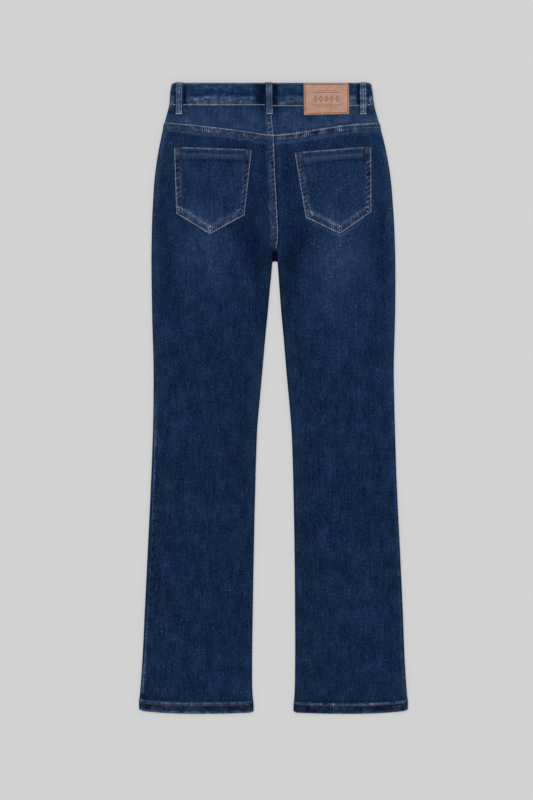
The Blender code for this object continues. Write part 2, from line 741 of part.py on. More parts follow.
def build_pocket(name, cut):
    tip_share = tip_across_share(cut)
    sides = [0.0, EDGE_SHARE, POCKET_SIDE, POCKET_SIDE + SLOPE_SHARE]
    across_lines = sides + [0.28, tip_share, 0.72] + [1.0 - share for share in reversed(sides)]
    down_lines = [0.0, EDGE_SHARE, POCKET_HEM, POCKET_HEM + SLOPE_SHARE, 0.38, 0.6, 0.8,
                  1.0 - POCKET_BOTTOM - SLOPE_SHARE, 1.0 - POCKET_BOTTOM, 1.0 - EDGE_SHARE, 1.0]

    def place(row, column):
        u, v = across_lines[column], down_lines[row]
        across, down = cut_point(cut, u, v)
        from_side = min(u, 1.0 - u)
        rise = POCKET_BORDER_RISE * (1.0 - smooth(POCKET_SIDE, POCKET_SIDE + SLOPE_SHARE, from_side))
        bottom = 1.0 - smooth(POCKET_BOTTOM, POCKET_BOTTOM + SLOPE_SHARE, 1.0 - v)
        hem = 1.0 - smooth(POCKET_HEM, POCKET_HEM + SLOPE_SHARE, v)
        rise = max(rise, POCKET_BORDER_RISE * bottom, POCKET_HEM_RISE * hem)
        if min(from_side, v, 1.0 - v) < EDGE_SHARE / 2.0:
            rise -= EDGE_ROUNDING
        base = back_height(across, down) + LYING_GAP
        return (across, down, base + POCKET_WALL + rise), (across, down, base)

    build_wall(name, DENIM, len(down_lines), len(across_lines), place)


def build_patch():
    across_lines = [0.0, 0.02, 0.25, 0.5, 0.75, 0.98, 1.0]
    down_lines = [0.0, 0.025, 0.35, 0.695, 0.76, 0.83, 0.975, 1.0]

    def place(row, column):
        u, v = across_lines[column], down_lines[row]
        across, down = cut_point(PATCH_CORNERS, u, v)
        base = dressed_back(across, down) + LYING_GAP
        at_edge = min(u, 1.0 - u, v, 1.0 - v) == 0.0
        top = base + PATCH_WALL - (EDGE_ROUNDING if at_edge else 0.0)
        return (across, down, top), (across, down, base)

    build_wall("patch", LEATHER, len(down_lines), len(across_lines), place)


# ---------------------------------------------------------------- belt loops


# A loop's inner line, and from it the way to its outer face.
Station = namedtuple("Station", "down height out_down out_height")


def loop_stations(loop):
    """A loop from its end folded behind the waistband's edge to its lower end, on the cloth below."""
    dip = front_dip(loop.top_across) if loop.face == FRONT else 0.0
    surface = WAIST_HEIGHT + WAIST_WAVE if loop.face == BACK else FRONT_LIFT
    over = surface + loop.face * SEAM_GAP
    below = over
    if loop.face == BACK and not loop.over_seam:
        below = back_height(loop.end_across, LOOP_END - LOOP_STEP_TO) + LYING_GAP
    behind = WAIST_TOP + dip - SEAM_GAP
    hook = BACK_LOOP_HOOK if loop.face == BACK else FRONT_LOOP_HOOK
    edge = waistband_edge(loop.top_across) if loop.face == BACK else WAISTBAND_BOTTOM + dip
    out = loop.face * LOOP_WALL
    stations = [Station(behind, over - loop.face * hook, -LOOP_TOP_WALL, 0.0),
                Station(behind, over - loop.face * LOOP_TURN, -LOOP_TOP_WALL, 0.0),
                Station(behind, over, -LOOP_CORNER * LOOP_TOP_WALL, LOOP_CORNER * out)]
    flat = [(behind + step, over) for step in LOOP_STEPS]
    flat += [(edge + LOOP_STEP_FROM, over), (edge + LOOP_STEP_TO, below),
             (LOOP_END + dip - LOOP_HEM, below), (LOOP_END + dip, below)]
    return stations + [Station(down, height, 0.0, out) for down, height in flat]


def build_loop(loop):
    stations = loop_stations(loop)
    half = LOOP_WIDTH / 2.0
    across_lines = [-half, LOOP_EDGE_STRIP - half, 0.0, half - LOOP_EDGE_STRIP, half]
    top, end = stations[0].down, stations[-1].down

    def place(row, column):
        station = stations[row]
        wall_share = 1.0 - EDGE_ROUNDING / LOOP_WALL * (column in (0, len(across_lines) - 1))
        share = (station.down - top) / (end - top)
        middle = loop.top_across * (1.0 - share) + loop.end_across * share
        across = middle + across_lines[column]
        down = station.down
        if loop.face == FRONT:
            down += front_dip(across) - front_dip(middle)
        outer = (across, down + wall_share * station.out_down,
                 station.height + wall_share * station.out_height)
        return outer, (across, down, station.height)

    build_wall(loop.name, DENIM, len(stations), len(across_lines), place)


# ---------------------------------------------------------------- button

BUTTON_PROFILE = [(0.0, BUTTON_HEIGHT), (BUTTON_RADIUS - 1.0, BUTTON_HEIGHT), (BUTTON_RADIUS, 1.2),
                  (BUTTON_RADIUS, 0.6), (BUTTON_RADIUS - 0.8, 0.0), (BUTTON_RADIUS - 2.4, 0.0),
                  (BUTTON_RADIUS - 3.0, 0.4), (0.0, 0.4)]


def build_button():
    """A turned button, its face on the surface."""
    mesh = bmesh.new()
    ring = [mesh.verts.new((radius / 1000.0, 0.0, height / 1000.0)) for radius, height in BUTTON_PROFILE]
    for start, end in zip(ring, ring[1:]):
        mesh.edges.new((start, end))
    button = add_object("button", mesh, METAL)
    button.location = (BUTTON_ACROSS / 1000.0, (LENGTH / 2.0 - BUTTON_DOWN) / 1000.0, 0.0)
    turn = button.modifiers.new("turn", "SCREW")
    turn.steps = 20
    turn.render_steps = 20
    turn.use_merge_vertices = True
    turn.merge_threshold = 0.00001


build_legs_and_yokes()
build_waistband()
for pocket_name, pocket_cut in POCKETS.items():
    build_pocket(pocket_name, pocket_cut)
build_patch()
for belt_loop in LOOPS:
    build_loop(belt_loop)
build_button()
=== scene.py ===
"""Looks of the slim fit jeans, laid flat with the back up.

Each cloth piece is a thin shell on its solid's form: the same sections from the same sizes, with finer
seams, hems, puckers and creases. How worn the denim is gets worked out along with the form, together with
shade painted into its folds and hollows and beside its raised seams, pocket borders and loops; both are kept
on the mesh for the material. Sizes are in millimetres until a mesh is made: "down" is measured from the tops
of the belt loops towards the hems, and "across" from the middle of the width.
"""
from collections import namedtuple
from math import pi, radians

import bpy
import numpy as np
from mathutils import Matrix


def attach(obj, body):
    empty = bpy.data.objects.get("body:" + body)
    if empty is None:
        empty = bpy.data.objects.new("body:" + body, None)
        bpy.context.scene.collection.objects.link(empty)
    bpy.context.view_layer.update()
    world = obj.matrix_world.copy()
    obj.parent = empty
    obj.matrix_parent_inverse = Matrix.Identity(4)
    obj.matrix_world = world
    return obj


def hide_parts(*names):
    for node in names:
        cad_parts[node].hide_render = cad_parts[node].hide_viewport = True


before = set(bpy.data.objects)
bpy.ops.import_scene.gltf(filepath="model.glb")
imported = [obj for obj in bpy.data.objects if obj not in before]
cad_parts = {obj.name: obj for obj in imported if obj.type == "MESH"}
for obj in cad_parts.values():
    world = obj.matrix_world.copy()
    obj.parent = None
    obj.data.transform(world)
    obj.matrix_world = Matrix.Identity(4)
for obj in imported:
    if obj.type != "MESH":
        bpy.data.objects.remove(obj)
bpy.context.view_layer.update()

# ---------------------------------------------------------------- driving sizes, as in the solids
LENGTH = 1050.0
WAIST_TOP = 1.3
WAISTBAND_BOTTOM = 39.2
WAISTBAND_DROP = 1.7
FRONT_DIP = 14.0
DIP_HALF_WIDTH = 165.0
CENTRE_FRONT = 2.5
CROTCH = 299.0

CLOTH = 1.0
WAISTBAND_WALL = 2.2
POCKET_WALL = 1.0
LOOP_WALL = 1.8
LOOP_TOP_WALL = 1.0
PATCH_WALL = 1.3
SEAM_GAP = 0.12             # seams close up tighter than between the solids
LYING_GAP = 0.4

WAIST_HEIGHT = 7.4
WAIST_WAVE = 0.15
WAIST_WAVE_REACH = 24.0
WAIST_EASE = 6.0
LOFT_START = 2.0
LOFT_EDGE = 28.0
INNER_LOFT_FROM = 225.0
INNER_LOFT_FULL = 330.0
INSEAM_UNDER = 0.4
VALLEY_FROM = 270.0
VALLEY_FULL = 284.0
VALLEY_SIDE = 2.6
VALLEY_INSIDE = 0.4
VALLEY_CLEARANCE = 0.1

YOKE_BAND = 9.5
CENTRE_BAND = 8.0
CENTRE_BAND_FROM = 268.0    # the raised centre seam fades out from here
CENTRE_BAND_TO = 281.0
BAND_RISE = 0.9
BAND_FALL = 0.9
BAND_ENDS_AT = -0.5
HEM = 17.0
HEM_FOLD = 0.9
HEM_RISE = 0.6

POCKET_BORDER_RISE = 0.7
POCKET_HEM_RISE = 0.9
EDGE_ROUNDING = 0.4

LOOP_WIDTH = 11.6
LOOP_END = 54.0
LOOP_TURN = 0.6
LOOP_CORNER = 0.7
LOOP_FLAT = 1.8
LOOP_STEP_FROM = 0.6
LOOP_STEP_TO = 5.0
BACK_LOOP_HOOK = 3.3
FRONT_LOOP_HOOK = 2.6
FRONT_LOOP = 82.0
FRONT_LIFT = LOOP_WALL + SEAM_GAP
LIFT_HALF_WIDTH = 12.0
LIFT_FALL = 14.0
LOOP_LIFT_FALL = 28.0
BUTTON_LIFT_FALL = 26.0
WAIST_LIFT = 1.0
WAIST_LIFT_FALL = 50.0
BUTTON_ACROSS = -15.0

THREAD = 0.6                # thickness of the sewing thread
UNDERSIDE = THREAD / 2.0    # the front cloth lies on its stitches, this far above the surface
PITCH = 3.2                 # from one stitch to the next
FINE_PITCH = 2.9            # the same on pockets and loops
STITCH_SHARE = 0.80         # of the pitch that a stitch covers
FOLD_CLEAR = 5.0            # sewn lines end this far from the side folds
LOOP_CLEAR = LOOP_WIDTH / 2.0 + 0.6
WAIST_STITCHED = (-167.0, 161.0)    # the part of the waistband's width that is sewn
WAIST_STITCH_LIFT = 0.2
HEM_LEVEL = 1035.0          # the hems' sewn lines are as long as the legs are wide here
BARTACK_HALF = 5.0
BARTACK_STEP = 0.55

# Distances of the sewn lines from their edges.
WAIST_STITCHES = (1.5, 1.6)         # from the lower and from the upper edge
YOKE_STITCHES = (0.8, 7.2)
YOKE_SEAM_SHIFT = 1.3               # how much lower that seam is sewn on the right
CENTRE_STITCHES = (1.3, 6.6)
CENTRE_STITCHES_END = 277.0
HEM_STITCH = HEM - 3.4
POCKET_STITCHES = (0.9, 8.4)
POCKET_TOP_CLEAR = 1.0
POCKET_HEM_STITCH = 11.4
POCKET_HEM_DEPTH = 18.4
PATCH_STITCH = 2.6
LOOP_STITCH = 2.0
FLY_STITCHES = (0.0, 6.0)
MOUTH_STITCHES = (1.04, 1.14)       # as shares of the way from the side and the waistband to the mouth
POCKET_BARTACKS = (3.4, 8.0)        # in from a pocket's upper corners
POCKET_BARTACK_DOWN = 6.5
RING_INSET = 9.0                    # from a lower corner of a pocket to the middle of its worn ring
RING_RADIUS = 3.6

# The front's fly, and its pocket mouths: a quarter round from the waistband to the side.
FLY_WIDTH = 38.0
FLY_STRAIGHT = 150.0
FLY_END = 192.0
MOUTH_WIDTH = 92.0
MOUTH_DEPTH = 62.0
MOUTH_SIDE = 182.0
MUCH = 500.0                # farther than any line of wear reaches

# ---------------------------------------------------------------- tables, a row for each section


def rows_of(kind, rows):
    """A table with the named columns of its kind."""
    return [kind(*row) for row in rows]


Side = namedtuple("Side", "down left right")
OUTER_SIDES = rows_of(Side, [
    (1.0, -165.5, 159.6), (3.2, -168.6, 162.0), (8.1, -170.1, 163.2), (38.1, -173.2, 167.5),
    (63.0, -179.9, 174.1), (104.6, -189.2, 185.1), (154.5, -196.9, 194.1), (204.4, -200.6, 198.7),
    (279.2, -202.8, 202.2), (379.0, -201.9, 202.4), (478.8, -199.4, 200.1), (578.6, -200.4, 202.1),
    (678.3, -204.2, 205.4), (778.1, -209.0, 210.4), (877.9, -213.9, 215.0), (977.7, -219.0, 219.2),
    (1012.0, -221.6, 221.6), (1026.0, -222.8, 222.8), (LENGTH, -223.0, 223.0),
])
INNER_SIDES = rows_of(Side, [
    (CROTCH, -1.7, 6.7), (329.1, -4.7, 9.1), (379.0, -9.1, 12.6), (428.9, -14.0, 17.3),
    (478.8, -18.3, 21.3), (528.7, -22.8, 25.9), (578.6, -27.1, 29.9), (628.4, -28.9, 31.9),
    (728.2, -31.5, 34.2), (877.9, -34.3, 35.8), (977.7, -35.4, 35.8), (1012.0, -35.0, 35.2),
    (1030.0, -33.8, 34.0), (LENGTH, -33.4, 33.6),
])
SIDE_SEAM = rows_of(Side, [
    (38.0, -0.6, -0.6), (500.0, -0.6, -0.6), (570.0, 2.9, -0.6), (687.0, 5.0, -0.4), (770.0, 6.2, 1.0),
    (860.0, 6.2, 1.8), (925.0, 4.4, 1.8), (982.0, 2.8, 1.6), (LENGTH, 2.2, 1.4),
])

SeamPoint = namedtuple("SeamPoint", "across down")
YOKE_SEAM = rows_of(SeamPoint, [
    (-179.3, 66.9), (-126.9, 71.8), (-84.0, 76.8), (-41.1, 82.5), (-19.6, 85.8), (-5.0, 87.3),
    (3.3, 86.8), (36.4, 83.5), (77.8, 76.7), (119.1, 70.8), (174.3, 66.7),
])

CentrePoint = namedtuple("CentrePoint", "down across")
CENTRE_BACK = rows_of(CentrePoint, [
    (38.1, -4.8), (84.0, 0.1), (100.8, 1.2), (151.2, 3.1), (196.1, 5.5), (239.3, 7.6), (265.9, 7.4),
    (276.6, 5.2), (285.0, 3.6), (CROTCH, CENTRE_FRONT),
])

Level = namedtuple("Level", "down edge middle")
LEVELS = rows_of(Level, [
    (38.0, 6.3, 6.3), (60.0, 5.7, 6.0), (90.0, 4.9, 5.4), (150.0, 4.5, 4.9), (260.0, 4.4, 4.4),
    (330.0, 4.4, 4.0), (550.0, 4.4, 3.6), (800.0, 4.4, 3.5), (1000.0, 4.5, 3.7), (LENGTH, 4.6, 4.1),
])

HemRise = namedtuple("HemRise", "inward outer inner")
HEM_RISES = rows_of(HemRise, [
    (0.0, 7.4, 4.4), (4.0, 5.4, 2.4), (10.0, 4.3, 1.8), (25.0, 2.7, 1.1), (50.0, 1.0, 0.3),
    (85.0, 0.0, 0.0),
])

# Soft swells and hollows. "turn" is the angle of the long axis from the leg's own direction.
SoftForm = namedtuple("SoftForm", "across down turn length width height")
SOFT_FORMS = rows_of(SoftForm, [
    (-100.0, 180.0, 0.0, 95.0, 65.0, 0.7),      # seat
    (104.0, 180.0, 0.0, 95.0, 65.0, 0.7),
    (-96.0, 305.0, 0.0, 105.0, 42.0, 0.7),      # back of the thighs, below the pockets
    (106.0, 310.0, 0.0, 110.0, 42.0, 0.7),
    (-44.0, 322.0, 10.0, 80.0, 15.0, -0.6),     # inner thighs
    (52.0, 322.0, -10.0, 80.0, 15.0, -0.6),
    (-38.0, 272.0, 58.0, 42.0, 9.0, 0.6),       # drag lines from the crotch
    (50.0, 270.0, -58.0, 42.0, 9.0, 0.6),
    (181.0, 250.0, 1.0, 95.0, 9.0, -0.5),       # beside the right hip
    (-112.0, 545.0, 82.0, 55.0, 16.0, 0.5),     # back of the knees
    (-108.0, 590.0, 96.0, 50.0, 15.0, -0.4),
    (118.0, 560.0, -80.0, 55.0, 16.0, 0.5),
    (112.0, 604.0, -95.0, 50.0, 15.0, -0.4),
    (-138.0, 800.0, 3.0, 160.0, 24.0, 0.6),     # lower legs
    (142.0, 820.0, -3.0, 160.0, 24.0, 0.6),
])
# Finer creases, on the back cloth only.
CREASES = rows_of(SoftForm, [
    (-30.0, 262.0, 62.0, 30.0, 4.0, 0.35), (-26.0, 283.0, 48.0, 26.0, 4.0, -0.30),
    (-20.0, 300.0, 30.0, 34.0, 4.5, 0.30), (40.0, 258.0, -64.0, 32.0, 4.0, 0.35),
    (34.0, 281.0, -46.0, 26.0, 4.0, -0.30), (28.0, 304.0, -28.0, 36.0, 4.5, 0.30),
    (-70.0, 402.0, 14.0, 70.0, 8.0, 0.25), (88.0, 420.0, -12.0, 80.0, 9.0, 0.25),
    (-172.0, 330.0, 4.0, 90.0, 7.0, -0.25), (176.0, 360.0, -3.0, 90.0, 7.0, -0.25),
    (-150.0, 560.0, 70.0, 34.0, 6.0, 0.25), (-60.0, 572.0, -76.0, 30.0, 6.0, 0.25),
    (70.0, 580.0, 74.0, 32.0, 6.0, 0.25), (164.0, 584.0, -68.0, 34.0, 6.0, 0.25),
    (-80.0, 860.0, 2.0, 130.0, 10.0, -0.25), (96.0, 880.0, -2.0, 120.0, 10.0, -0.25),
])

Corner = namedtuple("Corner", "across down")
Cut = namedtuple("Cut", "top_low top_high bottom_high tip bottom_low")
POCKETS = {
    "pocket_left": Cut(Corner(-165.2, 108.0), Corner(-35.8, 112.0), Corner(-47.9, 220.7),
                       Corner(-105.4, 252.9), Corner(-161.5, 218.4)),
    "pocket_right": Cut(Corner(35.2, 117.0), Corner(162.6, 106.9), Corner(163.0, 215.9),
                        Corner(110.8, 252.0), Corner(53.5, 225.0)),
}
PATCH_CORNERS = Cut(Corner(49.8, 1.6), Corner(125.1, 1.6), Corner(126.1, 53.2), None, Corner(50.9, 55.0))
# Shares of a pocket's width and height: its borders at the sides and the bottom, its hem, the rounding of
# its edges and the slopes of its borders.
POCKET_SIDE = 0.076
POCKET_BOTTOM = 0.086
POCKET_HEM = 0.17
EDGE_SHARE = 0.009
SLOPE_SHARE = 0.008

Loop = namedtuple("Loop", "name face top_across end_across over_seam")
BACK, FRONT = 1, -1
LOOPS = rows_of(Loop, [
    ("loop_back_left", BACK, -156.4, -157.1, False), ("loop_back_centre", BACK, -7.4, -6.1, True),
    ("loop_back_right", BACK, 149.0, 149.4, False),
    ("loop_front_left", FRONT, -FRONT_LOOP, -FRONT_LOOP, False),
    ("loop_front_right", FRONT, FRONT_LOOP, FRONT_LOOP, False),
])

# ---------------------------------------------------------------- curves and uneven values


def smooth(low, high, value):
    """0 below low, 1 above high, and an even turn between."""
    share = np.clip((value - low) / (high - low), 0.0, 1.0)
    return share * share * (3.0 - 2.0 * share)


def line(distance, middle, width):
    """1 along a line at a distance from an edge, fading out on both sides of it."""
    return np.exp(-((distance - middle) / width) ** 2)


def curve(table, column):
    """A smooth curve through one column of a table, over the table's first column."""
    keys = np.array([row[0] for row in table])
    values = np.array([getattr(row, column) for row in table])
    slopes = np.gradient(values, keys)

    def follow(key):
        key = np.clip(key, keys[0], keys[-1])
        row = np.clip(np.searchsorted(keys, key, side="right") - 1, 0, len(keys) - 2)
        span = keys[row + 1] - keys[row]
        t = (key - keys[row]) / span
        start = (1.0 + 2.0 * t) * (1.0 - t) ** 2 * values[row] + t * (1.0 - t) ** 2 * span * slopes[row]
        end = t * t * (3.0 - 2.0 * t) * values[row + 1] + t * t * (t - 1.0) * span * slopes[row + 1]
        return start + end

    return follow


class Uneven:
    """Values from -1 to 1 that pass smoothly from one cell of a plane to the next."""
    CELLS = 64

    def __init__(self, seed):
        self.values = np.random.default_rng(seed).uniform(-1.0, 1.0, (self.CELLS, self.CELLS))

    def __call__(self, x, y=0.0):
        x, y = np.broadcast_arrays(x, y)
        i, j = np.floor(x).astype(int), np.floor(y).astype(int)
        u, v = x - i, y - j
        u, v = u * u * (3.0 - 2.0 * u), v * v * (3.0 - 2.0 * v)
        i, i_next = i % self.CELLS, (i + 1) % self.CELLS
        j, j_next = j % self.CELLS, (j + 1) % self.CELLS
        near = self.values[i, j] * (1.0 - u) + self.values[i_next, j] * u
        far = self.values[i, j_next] * (1.0 - u) + self.values[i_next, j_next] * u
        return near * (1.0 - v) + far * v


LEFT, RIGHT = -1, 1
outer_side = {LEFT: curve(OUTER_SIDES, "left"), RIGHT: curve(OUTER_SIDES, "right")}
inner_side = {LEFT: curve(INNER_SIDES, "left"), RIGHT: curve(INNER_SIDES, "right")}
side_seam = {LEFT: curve(SIDE_SEAM, "left"), RIGHT: curve(SIDE_SEAM, "right")}
yoke_seam = curve(YOKE_SEAM, "down")
centre_back = curve(CENTRE_BACK, "across")
edge_level = curve(LEVELS, "edge")
middle_level = curve(LEVELS, "middle")
outer_rise = curve(HEM_RISES, "outer")
inner_rise = curve(HEM_RISES, "inner")


def on_side(pair, side, down):
    """The left or the right curve of a pair, for each place."""
    return np.where(side == LEFT, pair[LEFT](down), pair[RIGHT](down))


def front_dip(across):
    return FRONT_DIP * (1.0 - smooth(0.0, DIP_HALF_WIDTH, abs(across)))


def waistband_edge(across):
    """Lower edge of the back waistband, which steps down under the centre loop and up under the right one."""
    lowered = smooth(-22.0, 8.0, across) * (1.0 - smooth(132.0, 166.0, across))
    return WAISTBAND_BOTTOM + WAISTBAND_DROP * lowered


def hem_edge(across):
    """Lower edge of the leg that passes here."""
    side = np.where(across < CENTRE_FRONT, LEFT, RIGHT)
    from_outer = np.maximum(0.0, side * (on_side(outer_side, side, LENGTH) - across))
    from_inner = np.maximum(0.0, side * (across - on_side(inner_side, side, LENGTH)))
    return LENGTH - outer_rise(from_outer) - inner_rise(from_inner)


# ---------------------------------------------------------------- heights of the two layers


def soft_forms(forms, across, down):
    total = 0.0
    for form in forms:
        turn = radians(form.turn)
        right, below = across - form.across, down - form.down
        along = (right * np.sin(turn) + below * np.cos(turn)) / form.length
        beside = (right * np.cos(turn) - below * np.sin(turn)) / form.width
        total = total + form.height * np.exp(-along * along - beside * beside)
    return total


def crotch_valley(across, down, height):
    low, high = inner_side[LEFT](CROTCH), inner_side[RIGHT](CROTCH)
    inside = smooth(low - VALLEY_SIDE, low + VALLEY_INSIDE, across)
    inside = inside * (1.0 - smooth(high - VALLEY_INSIDE, high + VALLEY_SIDE, across))
    floor = 2.0 * CLOTH + SEAM_GAP + VALLEY_CLEARANCE
    return (height - floor) * inside * smooth(VALLEY_FROM, VALLEY_FULL, down) * (down <= CROTCH)


def back_height(across, down):
    """Outer face of the back cloth."""
    side = np.where(across < centre_back(down), LEFT, RIGHT)
    from_outer = side * (on_side(outer_side, side, down) - across)
    from_inner = side * (across - on_side(inner_side, side, np.maximum(down, CROTCH)))
    middle = smooth(LOFT_START, LOFT_EDGE, from_outer)
    legs = smooth(INNER_LOFT_FROM, INNER_LOFT_FULL, down)
    middle = middle * (1.0 - legs * (1.0 - smooth(LOFT_START, LOFT_EDGE, from_inner)))
    edge = edge_level(down)
    height = edge + middle * (middle_level(down) - edge + soft_forms(SOFT_FORMS, across, down))
    return height - crotch_valley(across, down, height)


def underside_level(below_waist):
    lift = WAIST_LIFT * (1.0 - smooth(WAISTBAND_BOTTOM, WAISTBAND_BOTTOM + WAIST_LIFT_FALL, below_waist))
    return np.maximum(UNDERSIDE, lift)


def loop_lift(across):
    """1 over a front loop, 0 away from it."""
    return 1.0 - smooth(LIFT_HALF_WIDTH, LIFT_HALF_WIDTH + LIFT_FALL, abs(abs(across) - FRONT_LOOP))


def button_lift(across):
    return 1.0 - smooth(LIFT_HALF_WIDTH, LIFT_HALF_WIDTH + LIFT_FALL, abs(across - BUTTON_ACROSS))


def front_height(across, down):
    """Outer face of the front cloth."""
    below_waist = down - front_dip(across)
    below_loop = smooth(LOOP_END + 3.0, LOOP_END + LOOP_LIFT_FALL, below_waist)
    below_button = smooth(WAISTBAND_BOTTOM, WAISTBAND_BOTTOM + BUTTON_LIFT_FALL, below_waist)
    lift = np.maximum(loop_lift(across) * (1.0 - below_loop), button_lift(across) * (1.0 - below_button))
    return np.maximum(underside_level(below_waist), FRONT_LIFT * lift)


def waistband_top(across, down):
    return WAIST_HEIGHT + WAIST_WAVE * np.cos(across / WAIST_WAVE_REACH)


def waistband_underside(across, down):
    return np.maximum(UNDERSIDE, FRONT_LIFT * np.maximum(loop_lift(across), button_lift(across)))


Form = namedtuple("Form", "edge_top edge_bottom top bottom")
BODY = Form(edge_level, underside_level, back_height, front_height)
WAISTBAND = Form(lambda down: WAIST_HEIGHT + 0.0 * down, lambda down: UNDERSIDE + 0.0 * down,
                 waistband_top, waistband_underside)

# ---------------------------------------------------------------- sections

# One end of each section: its outermost line, how far the cloth goes on round a fold, and whether it folds.
End = namedtuple("End", "edge wrap folds")
NORMAL_STEP = 0.1


class Sections:
    """The runs of one face's cloth at an array of heights, from their low-x to their high-x ends."""

    def __init__(self, form, face, down, low, high):
        self.form, self.face, self.down = form, face, down
        top, bottom = form.edge_top(down), form.edge_bottom(down)
        self.radius, self.middle = (top - bottom) / 2.0, (top + bottom) / 2.0
        self.low, self.high = low, high
        self.low_x = low.edge + self.radius * low.folds
        self.high_x = high.edge - self.radius * high.folds
        self.length = low.wrap + (self.high_x - self.low_x) + high.wrap

    def height(self, face, across):
        surface = self.form.top if face == BACK else self.form.bottom
        return surface(across, self.down)

    def point(self, along):
        """Across and height of the outer face, at a distance along the cloth."""
        beyond = along - self.low.wrap
        flat = self.high_x - self.low_x
        at_low, at_high = (beyond < 0.0) & self.low.folds, (beyond > flat) & self.high.folds
        side = np.where(at_low, LEFT, RIGHT)
        past = np.where(at_low, -beyond, beyond - flat)
        tangent = np.where(at_low, self.low_x, self.high_x)
        angle = past / self.radius
        under_across = tangent - side * (past - pi * self.radius)
        fold_across = tangent + side * self.radius * np.sin(angle)
        fold_height = self.middle + self.face * self.radius * np.cos(angle)
        under = angle > pi
        round_across = np.where(under, under_across, fold_across)
        round_height = np.where(under, self.height(-self.face, under_across), fold_height)
        flat_across = self.low_x + beyond
        folded = at_low | at_high
        across = np.where(folded, round_across, flat_across)
        return across, np.where(folded, round_height, self.height(self.face, flat_across))

    def normal(self, along):
        """Outward direction across and up, in the section's plane."""
        start, end = self.point(along - NORMAL_STEP), self.point(along + NORMAL_STEP)
        run_across, run_up = end[0] - start[0], end[1] - start[1]
        size = np.hypot(run_across, run_up)
        return -self.face * run_up / size, self.face * run_across / size


def back_wrap(form, side, down):
    """How far the back cloth goes round the outer fold, to the side seam."""
    radius = (form.edge_top(down) - form.edge_bottom(down)) / 2.0
    return radius * pi / 2.0 - side_seam[side](down)


def outer_end(form, face, side, down):
    wrap = back_wrap(form, side, down)
    if face == FRONT:
        wrap = pi * (form.edge_top(down) - form.edge_bottom(down)) / 2.0 - wrap - SEAM_GAP
    return End(outer_side[side](down), wrap, np.full(down.shape, True))


def inner_end(form, face, side, down):
    seam = centre_back(down) if face == BACK else CENTRE_FRONT
    radius = (form.edge_top(down) - form.edge_bottom(down)) / 2.0
    wrap = radius * pi / 2.0 + INSEAM_UNDER
    if face == FRONT:
        wrap = pi * radius - wrap - SEAM_GAP
    folds = down >= CROTCH
    edge = np.where(folds, inner_side[side](down), seam + side * SEAM_GAP / 2.0)
    return End(edge, wrap * folds, folds)


def sections_at(panel, down):
    outer = {side: outer_end(panel.form, panel.face, side, down) for side in (LEFT, RIGHT)}
    if panel.side is None:
        return Sections(panel.form, panel.face, down, outer[LEFT], outer[RIGHT])
    inner = inner_end(panel.form, panel.face, panel.side, down)
    low, high = (outer[LEFT], inner) if panel.side == LEFT else (inner, outer[RIGHT])
    return Sections(panel.form, panel.face, down, low, high)


# ---------------------------------------------------------------- panels

# Grid lines between two edges: each is a share of the way, and a distance from there.
Lines = namedtuple("Lines", "shares offsets")


def lines(from_start, from_end, count):
    """Lines at distances from the start and from the end, and a count of even ones between."""
    between = np.linspace(0.0, 1.0, count + 2)[1:-1]
    from_end = from_end[::-1]
    shares = np.concatenate((np.zeros(len(from_start)), between, np.ones(len(from_end))))
    inset = from_start[-1] * (1.0 - between) - from_end[0] * between
    return Lines(shares, np.concatenate((from_start, inset, -from_end)))


def every(pitch, reach):
    return np.arange(0.0, reach + pitch / 2.0, pitch)


# Rows of a panel between two edges, or between an edge and the level of the crotch.
Stretch = namedtuple("Stretch", "start end rows")
Band = namedtuple("Band", "edge width rise fade_from fade_to")
NEVER = 2.0 * LENGTH
Panel = namedtuple("Panel", "form face side top bottom stretches columns wall bands")


def rows_down(stretch, across):
    shares, offsets = stretch.rows.shares[:, None], stretch.rows.offsets[:, None]
    return stretch.start(across) * (1.0 - shares) + stretch.end(across) * shares + offsets


class Grid:
    """Places on a panel's outer face, with their outward directions and distances from its edges."""

    def __init__(self, panel):
        columns = panel.columns
        counts = [len(stretch.rows.shares) for stretch in panel.stretches]
        across = np.zeros((sum(counts), len(columns.shares)))
        for _ in range(6):
            top, bottom = panel.top(across), panel.bottom(across)
            parts = np.split(across, np.cumsum(counts)[:-1])
            down = np.concatenate([rows_down(*pair) for pair in zip(panel.stretches, parts)])
            sections = sections_at(panel, down)
            along = sections.length * columns.shares + columns.offsets
            across, height = sections.point(along)
        self.across, self.down, self.height = across, down, height
        self.out_across, self.out_up = sections.normal(along)
        self.from_top, self.from_bottom = down - top, bottom - down
        self.along, self.length = along, sections.length
        self.from_inner = along if panel.side == RIGHT else sections.length - along
        self.from_outer = sections.length - self.from_inner
        # 1 on the side that is turned up, 0 on the side that is turned down
        self.upper = smooth(-0.6, 0.1, self.out_up)
        self.add_bands(panel.bands)

    def add_bands(self, bands):
        """1 on each raised band, how far the outer face rises there, and how thick the hem's fold is."""
        self.band, self.rise, self.hem = {}, 0.0 * self.down, 0.0 * self.down
        distances = {"top": self.from_top, "bottom": self.from_bottom, "inner": self.from_inner}
        for band in bands:
            inside = 1.0 - smooth(band.width, band.width + BAND_FALL, distances[band.edge])
            inside = inside * (1.0 - smooth(band.fade_from, band.fade_to, self.down))
            self.band[band.edge] = inside
            self.rise = np.maximum(self.rise, inside * band.rise)
            if band.edge == "bottom":
                self.hem = inside * HEM_FOLD
        self.rise = self.rise * smooth(BAND_ENDS_AT, 0.0, self.out_up)

    def moved(self, distance):
        """The grid's points, moved out by a distance."""
        return np.stack((self.across + distance * self.out_across, self.down,
                         self.height + distance * self.out_up), axis=-1)


# ---------------------------------------------------------------- meshes

# How a surface looks and stands out at each place: fade from new (0) to white (1), darkened in places by
# painted shade, tint towards brown, ropy marks on seams that run across and on seams that run down, and
# relief outwards.
Finish = namedtuple("Finish", "fade tint rope_across rope_down relief")
INNER_STEP = 2


